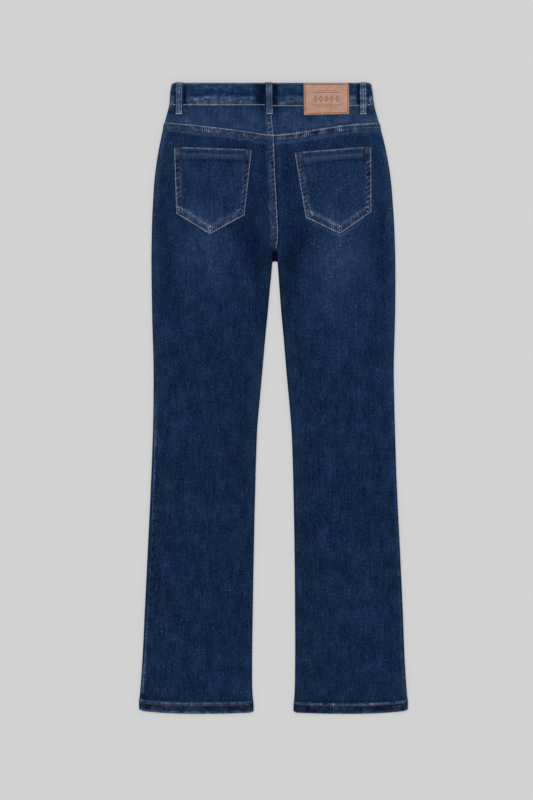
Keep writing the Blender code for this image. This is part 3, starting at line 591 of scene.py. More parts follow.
def coarser(count):
    steps = list(range(0, count, INNER_STEP))
    return steps if steps[-1] == count - 1 else steps + [count - 1]


def quads(number):
    corners = (number[:-1, :-1], number[1:, :-1], number[1:, 1:], number[:-1, 1:])
    return np.stack(corners, axis=-1).reshape(-1, 4).tolist()


def rim(outer_line, inner_line, steps, forward):
    faces = []
    for start, end, near, far in zip(steps, steps[1:], inner_line, inner_line[1:]):
        face = list(outer_line[start:end + 1]) + [far, near]
        faces.append(face if forward else face[::-1])
    return faces


def in_frame(points):
    points = np.asarray(points, float)
    return np.stack((points[..., 0], LENGTH / 2.0 - points[..., 1], points[..., 2]), axis=-1) / 1000.0


def new_object(name, points, faces, material, sharp=0.9):
    mesh = bpy.data.meshes.new(name)
    mesh.from_pydata(points.tolist(), [], faces)
    mesh.materials.append(material)
    mesh.shade_smooth()
    mesh.set_sharp_from_angle(angle=sharp)
    piece = bpy.data.objects.new(name, mesh)
    bpy.context.scene.collection.objects.link(piece)
    return piece


def keep_values(mesh, name, columns):
    attribute = mesh.attributes.new(name, "FLOAT_VECTOR", "POINT")
    attribute.data.foreach_set("vector", np.stack(columns, axis=-1).astype(np.float32).ravel())


def shell(name, outer, inner, finish, face, material):
    """A closed thin wall: a fine outer face, a coarser inner one and a rim."""
    rows, columns = outer.shape[:2]
    row_steps, column_steps = coarser(rows), coarser(columns)
    inner = inner[np.ix_(row_steps, column_steps)]
    number = np.arange(rows * columns).reshape(rows, columns)
    inside = rows * columns + np.arange(inner.shape[0] * inner.shape[1]).reshape(inner.shape[:2])
    faces = quads(number) + [quad[::-1] for quad in quads(inside)]
    faces += rim(number[0], inside[0], column_steps, True)
    faces += rim(number[-1], inside[-1], column_steps, False)
    faces += rim(number[:, 0], inside[:, 0], row_steps, False)
    faces += rim(number[:, -1], inside[:, -1], row_steps, True)
    if face == FRONT:
        faces = [corners[::-1] for corners in faces]
    points = np.concatenate((outer.reshape(-1, 3), inner.reshape(-1, 3)))
    piece = new_object(name, in_frame(points), faces, material)

    def both(values, inner_share=1.0, inner_value=0.0):
        values = np.broadcast_to(values, (rows, columns))
        inside = values[np.ix_(row_steps, column_steps)] * inner_share + inner_value
        return np.concatenate((values.ravel(), inside.ravel()))

    # the fade kept on the mesh holds the painted shade as well as how worn the cloth is
    keep_values(piece.data, "wear_and_shade", [both(finish.fade), both(finish.tint, 0.0), both(0.0, 0.0, 1.0)])
    keep_values(piece.data, "rope", [both(finish.rope_across, 0.0), both(finish.rope_down, 0.0), both(0.0)])
    return piece


def cloth_piece(node, panel, finish_of):
    """The shell that stands for one panel's solid."""
    grid = Grid(panel)
    finish = finish_of(grid)
    hem_inside = np.maximum(0.0, grid.hem - grid.rise)
    outer = grid.moved(grid.rise + finish.relief)
    inner = grid.moved(-panel.wall - hem_inside)
    piece = shell("cloth_" + node, outer, inner, finish, panel.face, DENIM)
    height = float(grid.down.max() - grid.down.min()) / 1000.0
    settle(piece, node)


def settle(piece, node):
    """The piece stands for its solid, which it hides, and is parented to the root body's empty."""
    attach(piece, "root")
    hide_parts(node)


RESTS_ON = {
    "waistband_back": ["waistband_front_left", "waistband_front_right"],
    "loop_back_left": ["waistband_back", "yoke_left"],
    "loop_back_centre": ["waistband_back", "yoke_left"],
    "loop_back_right": ["waistband_back", "yoke_right"],
}
for side_word in ("left", "right"):
    RESTS_ON["back_leg_" + side_word] = RESTS_ON["yoke_" + side_word] = ["front_leg_" + side_word]
    RESTS_ON["pocket_" + side_word] = ["back_leg_" + side_word]
    for lowest in ("front_leg_", "waistband_front_", "loop_front_"):
        RESTS_ON[lowest + side_word] = ["floor"]

# ---------------------------------------------------------------- materials


class Field:
    """A number that varies over a surface. Arithmetic on it adds math nodes to its material."""

    def __init__(self, tree, socket):
        self.tree, self.socket = tree, socket

    def math(self, operation, *others):
        node = self.tree.add("Math", operation=operation)
        for value, entry in zip((self,) + others, node.inputs):
            self.tree.feed(value, entry)
        return Field(self.tree, node.outputs[0])

    def __add__(self, other):
        return self.math("ADD", other)

    def __sub__(self, other):
        return self.math("SUBTRACT", other)

    def __mul__(self, other):
        return self.math("MULTIPLY", other)

    def __abs__(self):
        return self.math("ABSOLUTE")

    def between(self, low, high):
        """0 below low, 1 above high."""
        node = self.tree.add("MapRange", interpolation_type="SMOOTHSTEP")
        for name, value in (("Value", self), ("From Min", low), ("From Max", high)):
            self.tree.feed(value, node.inputs[name])
        return Field(self.tree, node.outputs[0])


class Tree:
    """A material's node tree, with a Principled shader."""

    def __init__(self, name, **constants):
        self.material = bpy.data.materials.new(name)
        self.material.use_nodes = True
        self.nodes = self.material.node_tree.nodes
        self.links = self.material.node_tree.links
        self.shader = self.nodes["Principled BSDF"]
        for words, value in constants.items():
            self.shader.inputs[words.replace("_", " ")].default_value = value
        self.shader.inputs["Emission Color"].default_value = (1.0, 1.0, 1.0, 1.0)
        self.place = self.add("TexCoord").outputs["Object"]

    def add(self, kind, **settings):
        node = self.nodes.new("ShaderNode" + kind)
        for key, value in settings.items():
            setattr(node, key, value)
        return node

    def feed(self, value, entry):
        if isinstance(value, Field):
            value = value.socket
        if isinstance(value, bpy.types.NodeSocket):
            self.links.new(value, entry)
        else:
            entry.default_value = value

    def split(self, vector):
        node = self.add("SeparateXYZ")
        self.links.new(vector, node.inputs[0])
        return [Field(self, output) for output in node.outputs]

    def kept(self, name):
        """The three values kept on the mesh under a name."""
        return self.split(self.add("Attribute", attribute_name=name).outputs["Vector"])

    def noise(self, per_metre, detail=2.0, roughness=0.5):
        """Noise about 0, with so many cells to the metre along each axis."""
        stretch = self.add("VectorMath", operation="MULTIPLY")
        self.links.new(self.place, stretch.inputs[0])
        stretch.inputs[1].default_value = per_metre
        node = self.add("TexNoise")
        self.links.new(stretch.outputs[0], node.inputs["Vector"])
        node.inputs["Scale"].default_value = 1.0
        node.inputs["Detail"].default_value = detail
        node.inputs["Roughness"].default_value = roughness
        return Field(self, node.outputs[0]) - 0.5

    def ramp(self, value, stops):
        """A colour for the value, between stops of (place, sRGB colour)."""
        node = self.add("ValToRGB")
        elements = node.color_ramp.elements
        while len(elements) < len(stops):
            elements.new(1.0)
        for element, (place, colour) in zip(elements, stops):
            element.position = place
            element.color = (*linear(colour), 1.0)
        self.feed(value, node.inputs["Fac"])
        return node.outputs["Color"]

    def mix(self, share, first, second):
        node = self.add("Mix", data_type="RGBA")
        self.feed(share, node.inputs[0])
        self.feed(first, node.inputs[6])
        self.feed(second, node.inputs[7])
        return node.outputs[2]

    def colour(self, socket):
        self.links.new(socket, self.shader.inputs["Base Color"])

    def bump(self, height, distance, strength=1.0):
        node = self.add("Bump")
        node.inputs["Distance"].default_value = distance
        node.inputs["Strength"].default_value = strength
        self.feed(height, node.inputs["Height"])
        self.links.new(node.outputs[0], self.shader.inputs["Normal"])


LIGHT_ON_CLOTH = 0.84       # how bright a white surface renders under the lights, with 1 for full white
VEIL = 0.0025               # what the cloth's faint gloss adds


def linear(colour):
    """Base colour that renders as an sRGB colour from 0 to 255."""
    values = []
    for value in colour:
        value = value / 255.0
        value = value / 12.92 if value <= 0.04045 else ((value + 0.055) / 1.055) ** 2.4
        values.append(max(0.0, (value - VEIL) / LIGHT_ON_CLOTH))
    return values


DENIM_STOPS = [
    (0.0, (4, 7, 16)), (0.15, (11, 23, 45)), (0.3, (20, 39, 67)), (0.45, (32, 56, 88)),
    (0.6, (51, 73, 104)), (0.8, (98, 116, 142)), (1.0, (158, 169, 185)),
]
BROWNED_STOPS = [
    (0.0, (8, 8, 12)), (0.15, (20, 23, 34)), (0.3, (37, 41, 54)), (0.45, (56, 57, 68)),
    (0.6, (78, 76, 84)), (0.8, (122, 114, 114)), (1.0, (170, 162, 156)),
]
WEFT_STOPS = [(0.0, (8, 10, 18)), (0.2, (48, 60, 82)), (0.45, (92, 104, 124)), (0.8, (134, 142, 154))]
TWILL_PITCH = 0.00085       # metres, like the other pitches of the denim's marks
TWILL_SLOPE = 0.5
BAR_PITCH = 0.0034
SLANT_PITCH = 0.0082
SLANT_SLOPE = 0.55

# Uneven shades of the denim: cells to the metre along each axis, detail and roughness of the noise, how
# much it fades the cloth and how much it stands out.
Grain = namedtuple("Grain", "per_metre detail roughness fade relief")
DENIM_GRAINS = rows_of(Grain, [
    ((430.0, 30.0, 200.0), 3.0, 0.6, 0.26, 0.0),        # streaks along the yarn
    ((900.0, 90.0, 400.0), 2.0, 0.5, 0.20, 0.6),        # slubs
    ((660.0, 540.0, 660.0), 2.0, 0.6, 0.60, 0.8),       # grain
    ((1600.0, 1300.0, 1600.0), 1.0, 0.5, 0.60, 0.8),    # flecks
    ((60.0, 34.0, 60.0), 3.0, 0.55, 0.24, 0.0),         # clouds
])


def wave(value, pitch):
    """A field that swings from -1 to 1 over each pitch of another."""
    return (value * (2.0 * pi / pitch)).math("SINE")


def make_denim():
    tree = Tree("washed_denim", Roughness=0.92, Specular_IOR_Level=0.06, Sheen_Weight=0.04,
                Sheen_Roughness=0.5)
    # fade holds the painted shade worked out with the form, as well as how worn the cloth is
    fade, tint, inside = tree.kept("wear_and_shade")
    rope_across, rope_down, _ = tree.kept("rope")
    x, y, _ = tree.split(tree.place)
    specks = tree.noise((520.0, 360.0, 520.0), 1.0).between(0.10, 0.30)
    twill = wave(x + y * TWILL_SLOPE, TWILL_PITCH)
    # marks across a seam: short bars on seams that run across, slanted ones on seams that run down
    wander = tree.noise((130.0, 130.0, 130.0), 1.0)
    patches = tree.noise((75.0, 75.0, 75.0), 2.0)
    bars = wave(x + wander * 0.004, BAR_PITCH)
    slants = wave(y - x * SLANT_SLOPE + wander * 0.006, SLANT_PITCH)
    marks = rope_across * (bars * 0.17 + patches) + rope_down * (slants * 0.14 + patches * 0.7)
    shade = fade + specks * 0.27 + twill * 0.03 + marks - 0.006
    relief = twill * 0.35
    for row in DENIM_GRAINS:
        noise = tree.noise(row.per_metre, row.detail, row.roughness)
        shade = shade + noise * row.fade
        if row.relief:
            relief = relief + noise * row.relief
    outside = tree.mix(tint, tree.ramp(shade, DENIM_STOPS), tree.ramp(shade, BROWNED_STOPS))
    tree.colour(tree.mix(inside, outside, tree.ramp(shade, WEFT_STOPS)))
    tree.bump(relief, 0.00035, 0.6)
    return tree.material


def make_thread(name, dark, light):
    tree = Tree(name, Roughness=0.75, Specular_IOR_Level=0.15)
    shades = tree.noise((160.0, 160.0, 160.0), 2.0)
    strands = tree.noise((2600.0, 2600.0, 2600.0), 1.0)
    tree.colour(tree.ramp(shades * 1.4 + strands * 0.5 + 0.5, [(0.2, dark), (0.8, light)]))
    tree.bump(strands, 0.0002, 0.5)
    return tree.material


def make_leather():
    tree = Tree("tan_leather", Roughness=0.62, Specular_IOR_Level=0.25)
    right, below, from_edge = tree.kept("place")
    mottle = tree.noise((90.0, 90.0, 90.0), 4.0, 0.6)
    pores = tree.noise((1400.0, 1400.0, 1400.0), 2.0, 0.6)
    creases = tree.noise((300.0, 420.0, 300.0), 3.0, 0.7)
    burnt = (from_edge + mottle * 1.4).between(1.9, 0.2)
    plain = tree.ramp(mottle * 0.9 + creases * 0.35 + pores * 0.3 + 0.5,
                      [(0.2, (163, 120, 97)), (0.5, (180, 140, 118)), (0.8, (194, 155, 133))])
    rim_colour = tree.ramp(mottle + 0.5, [(0.3, (146, 92, 66)), (0.7, (166, 110, 82))])
    leather = tree.mix(burnt * 0.85, plain, rim_colour)
    print_mask = motif(right, below) * (mottle * 1.6 + 0.74)
    tree.colour(tree.mix(print_mask, leather, tree.ramp(pores + 0.5, [(0.0, (92, 68, 62)),
                                                                     (1.0, (116, 90, 82))])))
    tree.bump(creases * 0.6 + pores * 0.8 - print_mask * 0.5, 0.0004, 0.5)
    return tree.material


MOTIF_PITCH = 9.0
LOZENGE_WIDTH = 3.6         # half of it, and half of the height
LOZENGE_HEIGHT = 5.4
MOTIF_REACH = 22.6          # half of the row's length
# Half lines of the rules: distance from the middle, half of the thickness and of the length, soft edges.
Rule = namedtuple("Rule", "place thickness thickness_end length length_end")
RULES = [Rule(10.5, 0.4, 0.75, 24.6, 25.2), Rule(13.2, 0.2, 0.45, 18.5, 19.0)]


def motif(right, below):
    """A plain printed design: a row of lozenges between pairs of rules."""
    step = right.math("PINGPONG", MOTIF_PITCH / 2.0)
    lozenge = step * (1.0 / LOZENGE_WIDTH) + abs(below) * (1.0 / LOZENGE_HEIGHT)
    row = abs(right).between(MOTIF_REACH + 0.6, MOTIF_REACH)
    design = lozenge.between(1.08, 0.92) * lozenge.between(0.42, 0.58) * row
    for rule in RULES:
        across = abs(abs(below) - rule.place).between(rule.thickness_end, rule.thickness)
        design = design.math("MAXIMUM", across * abs(right).between(rule.length_end, rule.length))
    return design


def make_metal():
    tree = Tree("aged_button_metal", Metallic=1.0, Roughness=0.42)
    tarnish = tree.noise((420.0, 420.0, 420.0), 4.0, 0.6)
    scuffs = tree.noise((3000.0, 500.0, 3000.0), 2.0, 0.6)
    tree.colour(tree.ramp(tarnish * 1.3 + 0.5, [(0.3, (98, 78, 58)), (0.7, (166, 142, 110))]))
    tree.bump(scuffs + tarnish * 0.5, 0.0002, 0.4)
    return tree.material


DENIM = make_denim()
LEATHER = make_leather()
METAL = make_metal()
PALE_THREAD = make_thread("pale_thread", (112, 124, 142), (172, 180, 192))
GREY_THREAD = make_thread("faded_thread", (86, 98, 116), (136, 144, 158))
RUST_THREAD = make_thread("rust_thread", (68, 66, 74), (112, 101, 98))
DULL_THREAD = make_thread("dull_thread", (46, 54, 70), (88, 86, 92))
DARK_THREAD = make_thread("dark_thread", (58, 34, 27), (92, 58, 44))

# ---------------------------------------------------------------- how worn the denim is, and the shade painted on it

LEG_FADE = 0.30
YOKE_FADE = 0.457
POCKET_FADE = 0.355
HEM_FADE = 0.27
LOOP_FADE = 0.46

# Faded and dark places of the back, on the fade's scale.
FADES = rows_of(SoftForm, [
    (-112.0, 272.0, 0.0, 46.0, 42.0, 0.105),        # below the left pocket
    (-100.0, 330.0, -4.0, 80.0, 38.0, 0.045),
    (-150.0, 262.0, 0.0, 40.0, 26.0, 0.025),
    (112.0, 276.0, 0.0, 52.0, 40.0, 0.115),         # below the right pocket
    (104.0, 338.0, 4.0, 85.0, 36.0, 0.075),
    (150.0, 300.0, 0.0, 60.0, 24.0, 0.03),
    (-34.0, 270.0, 22.0, 50.0, 20.0, -0.08),        # inner thighs
    (-24.0, 330.0, 8.0, 70.0, 12.0, -0.05),
    (34.0, 276.0, -24.0, 50.0, 18.0, -0.08),
    (34.0, 334.0, -8.0, 70.0, 12.0, -0.05),
    (180.0, 250.0, -1.5, 105.0, 6.0, -0.05),        # beside the hips; on the right, painted shade along the hollow there
    (-190.0, 210.0, 2.0, 90.0, 9.0, -0.03),
    (-100.0, 96.0, 88.0, 90.0, 14.0, 0.02),         # below the yokes
    (100.0, 92.0, -88.0, 90.0, 14.0, 0.03),
    (-20.0, 150.0, 0.0, 50.0, 14.0, -0.02),         # beside the centre seam
    (20.0, 160.0, 0.0, 50.0, 12.0, -0.03),
    (-66.0, 480.0, 3.0, 120.0, 26.0, -0.015),       # knees
    (96.0, 420.0, 2.0, 120.0, 60.0, 0.02),
    (-140.0, 600.0, 0.0, 80.0, 50.0, 0.01),
    (-44.0, 760.0, 1.0, 190.0, 12.0, -0.03),        # inner edges of the lower legs
    (48.0, 780.0, -1.0, 180.0, 14.0, -0.025),
    (-72.0, 860.0, 2.0, 70.0, 22.0, -0.02),
])

# How faded the cloth is at distances from an edge: each ridge that the layers below press up is paler.
# On a pocket's top, the darker values below the hem are painted shadow under the hem.
Wear = namedtuple("Wear", "distance fade")
WAISTBAND_WEAR = rows_of(Wear, [
    (0.0, 0.58), (3.0, 0.47), (8.0, 0.45), (14.0, 0.37), (20.5, 0.36), (25.5, 0.61), (30.0, 0.55),
    (34.5, 0.57), (37.9, 0.57),
])
YOKE_SEAM_WEAR = rows_of(Wear, [
    (0.0, 0.62), (2.5, 0.54), (4.0, 0.46), (7.0, 0.50), (10.0, 0.45), (12.0, 0.48), (14.0, 0.50),
    (18.5, 0.33),
])
CENTRE_SEAM_WEAR = rows_of(Wear, [
    (0.0, 0.44), (1.4, 0.53), (3.5, 0.37), (8.0, 0.43), (12.0, 0.44), (15.5, 0.34),
])
# the darker values just below the hem's depth are painted shadow under the pocket's hem
POCKET_TOP_WEAR_AND_SHADE = rows_of(Wear, [
    (0.0, 0.78), (2.0, 0.56), (4.0, 0.40), (8.5, 0.40), (11.0, 0.48), (13.5, 0.46), (16.0, 0.41),
    (18.0, 0.31), (20.5, 0.26), (24.0, 0.34),
])
POCKET_SIDE_WEAR = rows_of(Wear, [
    (0.0, 0.54), (1.5, 0.55), (3.3, 0.43), (6.0, 0.46), (10.0, 0.48), (14.5, 0.38),
])
POCKET_BOTTOM_WEAR = rows_of(Wear, [
    (0.0, 0.84), (1.8, 0.52), (4.0, 0.43), (8.0, 0.50), (11.5, 0.66), (14.5, 0.55), (19.0, 0.39),
])

# Paler and darker lines: where each one is, from an edge or across the garment, how wide and how strong.
Streak = namedtuple("Streak", "place width strength")
# painted shade on the yoke just below the waistband's edge
YOKE_TOP_STREAKS = [Streak(1.0, 3.0, -0.03)]
# painted shade beside the back leg's raised seam, then a paler line
YOKE_BOTTOM_STREAKS = [Streak(1.5, 1.5, -0.04), Streak(4.7, 1.8, 0.04)]
YOKE_INNER_STREAKS = {
    LEFT: [Streak(0.3, 1.2, 0.12), Streak(9.0, 2.2, 0.09), Streak(15.0, 3.0, -0.09)],
    # on the right, the first line is painted shade beside the left yoke's raised centre seam
    RIGHT: [Streak(2.0, 1.6, -0.08), Streak(9.0, 3.5, -0.08)],
}
YOKE_MARKS = [Streak(-113.0, 20.0, 0.9), Streak(-42.0, 18.0, 0.8), Streak(58.0, 42.0, 0.9),
              Streak(110.0, 16.0, 0.6)]
# painted shade beside the left leg's raised centre seam, with a paler line beyond it
RIGHT_OF_CENTRE_STREAKS = [Streak(6.0, 6.0, 0.05), Streak(1.0, 1.6, -0.12)]
SIDE_LOOP_SHADOWS = [Streak(-147.6, 3.0, 1.0), Streak(-164.0, 1.6, 0.6), Streak(141.4, 3.0, 1.0),
                     Streak(157.4, 1.4, 0.5)]
LOOP_END_SHADOWS = [Streak(loop.end_across, LOOP_WIDTH * 0.75, -0.20) for loop in LOOPS
                    if loop.face == BACK and not loop.over_seam]
RING_STREAKS = [Streak(RING_RADIUS, 1.2, 0.26), Streak(0.0, 1.8, -0.12), Streak(6.8, 1.6, -0.09)]
MOUTH_STREAKS = [Streak(0.4, 1.3, 0.14), Streak(-1.6, 1.6, -0.08)]

LOWER_LEG = (480.0, 620.0)      # the legs' side folds look their own way below here
FOLD_SHADE = 0.14                # how dark the painted shade along the outermost line of a fold is
HEM_SHIFT = 1.4                 # how much lower the hem's upper ridge lies on the right
CROSSING_FADE = 0.12
YOKE_END_DARK = {LEFT: 0.13, RIGHT: 0.06}
OUTSEAM_SHARE = {LEFT: 1.0, RIGHT: 0.6}
GROOVE = 0.16                   # how deep most sewn lines press into the cloth
POCKET_GROOVE = 0.15

cloudy = Uneven(11)
ragged = Uneven(23)
ripple = Uneven(37)


def puckers(distance, along, reach, pitch, height):
    """Small folds that run out from a sewn line, uneven in size and spacing."""
    swing = np.sin(2.0 * pi * (along / pitch + 0.45 * ripple(along / (2.3 * pitch), 3.0)))
    strength = 0.6 + 0.4 * ragged(along / (3.1 * pitch), 9.0)
    return height * np.exp(-np.maximum(distance, 0.0) / reach) * swing * strength


def roping(along, distance, slant, pitch, height):
    """Slanted ridges of a seam or hem that has twisted in the wash."""
    phase = (along + slant * distance) / pitch + 0.5 * ripple(along / (2.0 * pitch), 5.0)
    return height * np.sin(2.0 * pi * phase) * (0.65 + 0.35 * ragged(along / (2.7 * pitch), 1.0))


def streaks(place, table):
    return sum(row.strength * line(place, row.place, row.width) for row in table)


def groove(distance, stitches, depth, width=0.8):
    """How deep the sewn lines at some distances from an edge press into the cloth."""
    return depth * sum(line(distance, stitch, width) for stitch in stitches)


def worn(fade, table, distance):
    """The fade, given way to a table of fades within its reach; a pocket's top table holds painted shadow
    too.
    """
    beyond, reach = table[-2].distance, table[-1].distance
    near = 1.0 - smooth(beyond, reach, distance)
    return fade * (1.0 - near) + curve(table, "fade")(distance) * near


def fold_paling_and_shade(across, down):
    """How much paler a leg is towards its side folds, with painted shade along the outermost line of each
    fold and in the folds between the legs.
    """
    left, right = across - outer_side[LEFT](down), outer_side[RIGHT](down) - across
    on_left, on_right = left < right, right < left
    outer = np.maximum(np.minimum(left, right), 0.0)
    inner = np.maximum(inner_side[LEFT](down) - across, across - inner_side[RIGHT](down))
    # paler above, a pale line below, and painted shade along the outermost line
    lower = smooth(*LOWER_LEG, down)
    light = 0.13 * np.exp(-outer / 9.0) * (1.0 - lower)
    light = light + np.where(on_left, 0.33, 0.13) * line(outer, 3.6, 2.7) * lower
    light = light - FOLD_SHADE * (1.0 - smooth(0.5, 2.4, outer))
    # a pale line down the left hip, and a wider paler stretch on the right one
    light = light + 0.10 * line(outer, 5.0, 3.6) * on_left * (1.0 - smooth(170.0, 230.0, down))
    light = light + 0.06 * np.exp(-outer / 25.0) * line(down, 150.0, 60.0) * on_right
    # painted shade in the folds between the legs
    inner_fold = 1.0 - smooth(0.5, np.where(across < CENTRE_FRONT, 2.4, 4.0), abs(inner))
    light = light - FOLD_SHADE * inner_fold * smooth(CROTCH, CROTCH + 12.0, down)
    return light + 0.08 * np.exp(-np.maximum(inner, 0.0) / 8.0) * smooth(400.0, 500.0, down)


def leg_fade(grid):
    """Fade of a leg before its seams, with the painted shade of its folds."""
    forms = soft_forms(FADES, grid.across, grid.down) * grid.upper
    return LEG_FADE + forms + fold_paling_and_shade(grid.across, grid.down)


def hem_finish(grid, fade):
    """A leg's finish with its turned and sewn hem, given its fade."""
    band, from_edge = grid.band["bottom"], grid.from_bottom
    mottle = ragged(grid.across / 5.0, from_edge / 4.0)
    blotches = 0.5 * mottle + 0.5 * ragged(grid.across / 11.0, from_edge / 9.0)
    fade = fade * (1.0 - band) + (HEM_FADE + 0.17 * blotches) * band
    on_right = grid.across > CENTRE_FRONT
    ridge = HEM - HEM_SHIFT * on_right
    fade = fade + 0.29 * line(from_edge, ridge, 2.2) * (0.85 + 0.45 * mottle)
    edge = (0.29 - 0.08 * on_right) * line(from_edge, 1.4 - 0.8 * on_right, 2.5)
    fade = fade + edge * (0.9 + 0.3 * mottle) - 0.09 * line(from_edge, ridge + 4.6, 1.9)
    relief = roping(grid.across, from_edge, 0.9, 7.5, 0.16) * band
    relief = relief - groove(from_edge, [HEM_STITCH], 0.18, 0.9)
    relief = relief + puckers(from_edge - HEM, grid.across, 5.0, 8.0, 0.10) * (1.0 - band)
    return Finish(fade, 0.25 * band, 0.3 * band, 0.0 * band, relief)


def yoke_shift(across):
    return YOKE_SEAM_SHIFT * smooth(-8.0, 8.0, across)


def with_yoke_seam(look, grid):
    """A leg's finish with the raised seam under the yoke."""
    across, from_top = grid.across, grid.from_top
    band = grid.band["top"] * grid.upper
    from_seam = from_top - yoke_shift(across)
    fade = worn(look.fade, YOKE_SEAM_WEAR, from_seam + 1.5 * ripple(across / 14.0, 2.0) * (1.0 - band))
    fade = fade + 0.06 * ragged(across / 4.0, grid.down / 4.0) * (1.0 - smooth(11.0, 16.0, from_top))
    fade = fade - 0.06 * line(from_seam, 3.6, 1.8) * band + 0.06 * line(from_seam, 0.2, 0.9)
    ropy = 0.4 + 1.25 * streaks(across, YOKE_MARKS)
    relief = look.relief + roping(across, from_top, 0.2, 4.0, 0.10) * band
    relief = relief - groove(from_seam, YOKE_STITCHES, GROOVE)
    relief = relief + puckers(from_top - YOKE_BAND, across, 4.0, 6.0, 0.10) * (1.0 - band)
    return look._replace(fade=fade, tint=look.tint + 0.18 * band, relief=relief,
                         rope_across=look.rope_across + band * ropy)


def crossing(across, down):
    """The worn spot where the yoke and centre seams cross."""
    return CROSSING_FADE * np.exp(-((across + 5.0) / 7.5) ** 2 - ((down - 88.0) / 9.0) ** 2)


def with_centre_seam(look, grid, above_crotch):
    """The left leg's finish with the raised centre seam."""
    across, down, from_inner = grid.across, grid.down, grid.from_inner
    seam = grid.band["inner"] * above_crotch
    along_seam = above_crotch * smooth(YOKE_BAND, YOKE_BAND + 4.0, grid.from_top)
    uneven = from_inner + 1.5 * ripple(down / 12.0, 4.0)
    mottle = ragged(across / 4.0, down / 4.0) * (from_inner < 13.0)
    fade = look.fade + (worn(look.fade, CENTRE_SEAM_WEAR, uneven) - look.fade) * along_seam
    fade = fade + 0.09 * mottle * along_seam + crossing(across, down)
    rope_down = seam * (0.55 + 0.45 * line(down, 125.0, 60.0)) * (1.0 - grid.band["top"] * grid.upper)
    relief = look.relief + roping(down, from_inner, -0.6, 8.2, 0.12) * seam
    relief = relief - groove(from_inner, CENTRE_STITCHES, GROOVE) * above_crotch
    return Finish(fade, look.tint * (1.0 - seam) + 0.25 * seam, look.rope_across * (1.0 - seam), rope_down,
                  relief)


def under_pocket(across, down):
    """The paler cloth just below the lower edges of the right pocket."""
    cut = POCKETS["pocket_right"]
    below = cut_distances(cut, across, down)[-1]
    edge = np.interp(across, *np.transpose((cut.bottom_low, cut.tip, cut.bottom_high)))
    beside = smooth(48.0, 56.0, across) * (1.0 - smooth(158.0, 166.0, across))
    return 0.11 * line(below, 3.5, 3.2) * (down > edge - 1.0) * beside


def dark_wedge(across, down):
    """The unlit cloth down in the fork between the legs, which widens towards their parting."""
    opening = smooth(275.0, 286.0, down)
    reach = abs(across - CENTRE_FRONT) - 5.0 * opening
    return opening * (1.0 - smooth(-0.8, 1.0, reach)) * (down < CROTCH + 4.0)


def outseam_marks(grid):
    """Dark puckers beside the outer seam of the lower leg, where it lies on the back."""
    reach = smooth(520.0, 600.0, grid.down) * (1.0 - smooth(990.0, 1020.0, grid.down))
    dots = smooth(0.1, 0.7, np.sin(2.0 * pi * (grid.down / 17.0 + 0.6 * ripple(grid.down / 30.0, 8.0))))
    seam = -0.05 * line(grid.from_outer, 0.0, 1.6) - 0.09 * dots * line(grid.from_outer, 3.0, 2.6)
    return (seam + 0.05 * line(grid.from_outer, 3.6, 1.6) * (1.0 - dots)) * reach


def hem_corner(across, down):
    """The dark bulk of the left outer seam just above the hem."""
    return -0.30 * np.exp(-((across + 218.0) / 4.6) ** 4 - ((down - 1021.0) / 6.0) ** 6)


def back_leg_finish(side):
    def finish(grid):
        across, down = grid.across, grid.down
        above_crotch = 1.0 - smooth(CENTRE_BAND_FROM, CENTRE_BAND_TO, down)
        look = with_yoke_seam(hem_finish(grid, leg_fade(grid)), grid)
        fade = look.fade + streaks(grid.from_inner, RIGHT_OF_CENTRE_STREAKS) * above_crotch
        if side == LEFT:
            look = with_centre_seam(look, grid, above_crotch)
            fade = look.fade + hem_corner(across, down)
        fade = fade + outseam_marks(grid) * OUTSEAM_SHARE[side] + under_pocket(across, down)
        relief = look.relief + puckers(grid.from_inner - CENTRE_BAND, down, 5.0, 7.0, 0.08) * above_crotch
        relief = relief + puckers(grid.from_outer, down, 6.0, 15.0, 0.22) * smooth(560.0, 660.0, down)
        relief = relief + soft_forms(CREASES, across, down) * grid.upper
        relief = relief + 0.10 * cloudy(across / 26.0, down / 40.0) * grid.upper
        return look._replace(fade=fade * (1.0 - dark_wedge(across, down)), relief=relief * grid.upper)

    return finish


def yoke_finish(side):
    def finish(grid):
        across, down = grid.across, grid.down
        mottle = 0.05 * cloudy(across / 15.0, down / 9.0) + 0.035 * ragged(across / 5.0, down / 5.0)
        fade = YOKE_FADE + mottle * grid.upper + streaks(grid.from_inner, YOKE_INNER_STREAKS[side])
        fade = fade + streaks(grid.from_top, YOKE_TOP_STREAKS)
        fade = fade + streaks(grid.from_bottom, YOKE_BOTTOM_STREAKS)
        fade = fade + 0.06 * np.exp(-np.maximum(grid.from_outer - 6.0, 0.0) / 22.0)
        # darker under the loops, and at the waistband's ends and middle
        fade = fade + streaks(across, LOOP_END_SHADOWS) * (1.0 - smooth(52.0, 58.0, down))
        dark_end = smooth(41.5, 46.0, down) * (1.0 - smooth(49.0, 57.0, down))
        fade = fade - YOKE_END_DARK[side] * dark_end * (1.0 - smooth(16.0, 24.0, grid.from_outer))
        fade = fade - 0.27 * line(across, -5.5, 15.0) * (1.0 - smooth(44.0, 60.0, down))
        seam = grid.band.get("inner", 0.0 * down)
        if side == LEFT:
            fade = fade + crossing(across, down) + 0.09 * ragged(across / 4.0, down / 4.0) * seam
        relief = roping(down, grid.from_inner, -0.6, 8.2, 0.10) * seam
        relief = relief - groove(grid.from_inner, CENTRE_STITCHES, GROOVE) * (seam > 0.5)
        relief = relief + puckers(grid.from_bottom, across, 4.0, 6.0, 0.10)
        relief = relief + puckers(grid.from_top, across, 4.0, 5.0, 0.08)
        return Finish(fade, 0.15 * seam, 0.0, 0.8 * seam, relief * grid.upper)

    return finish


def pocket_mouth_distance(across, down):
    """Roughly how far a place of the front lies below its pocket's mouth."""
    aside = (MOUTH_SIDE - abs(across)) / MOUTH_WIDTH
    below = np.maximum(down - WAISTBAND_BOTTOM - front_dip(across), 0.0) / MOUTH_DEPTH
    return (np.sqrt(aside ** 2 + below ** 2) - 1.0) * MOUTH_DEPTH


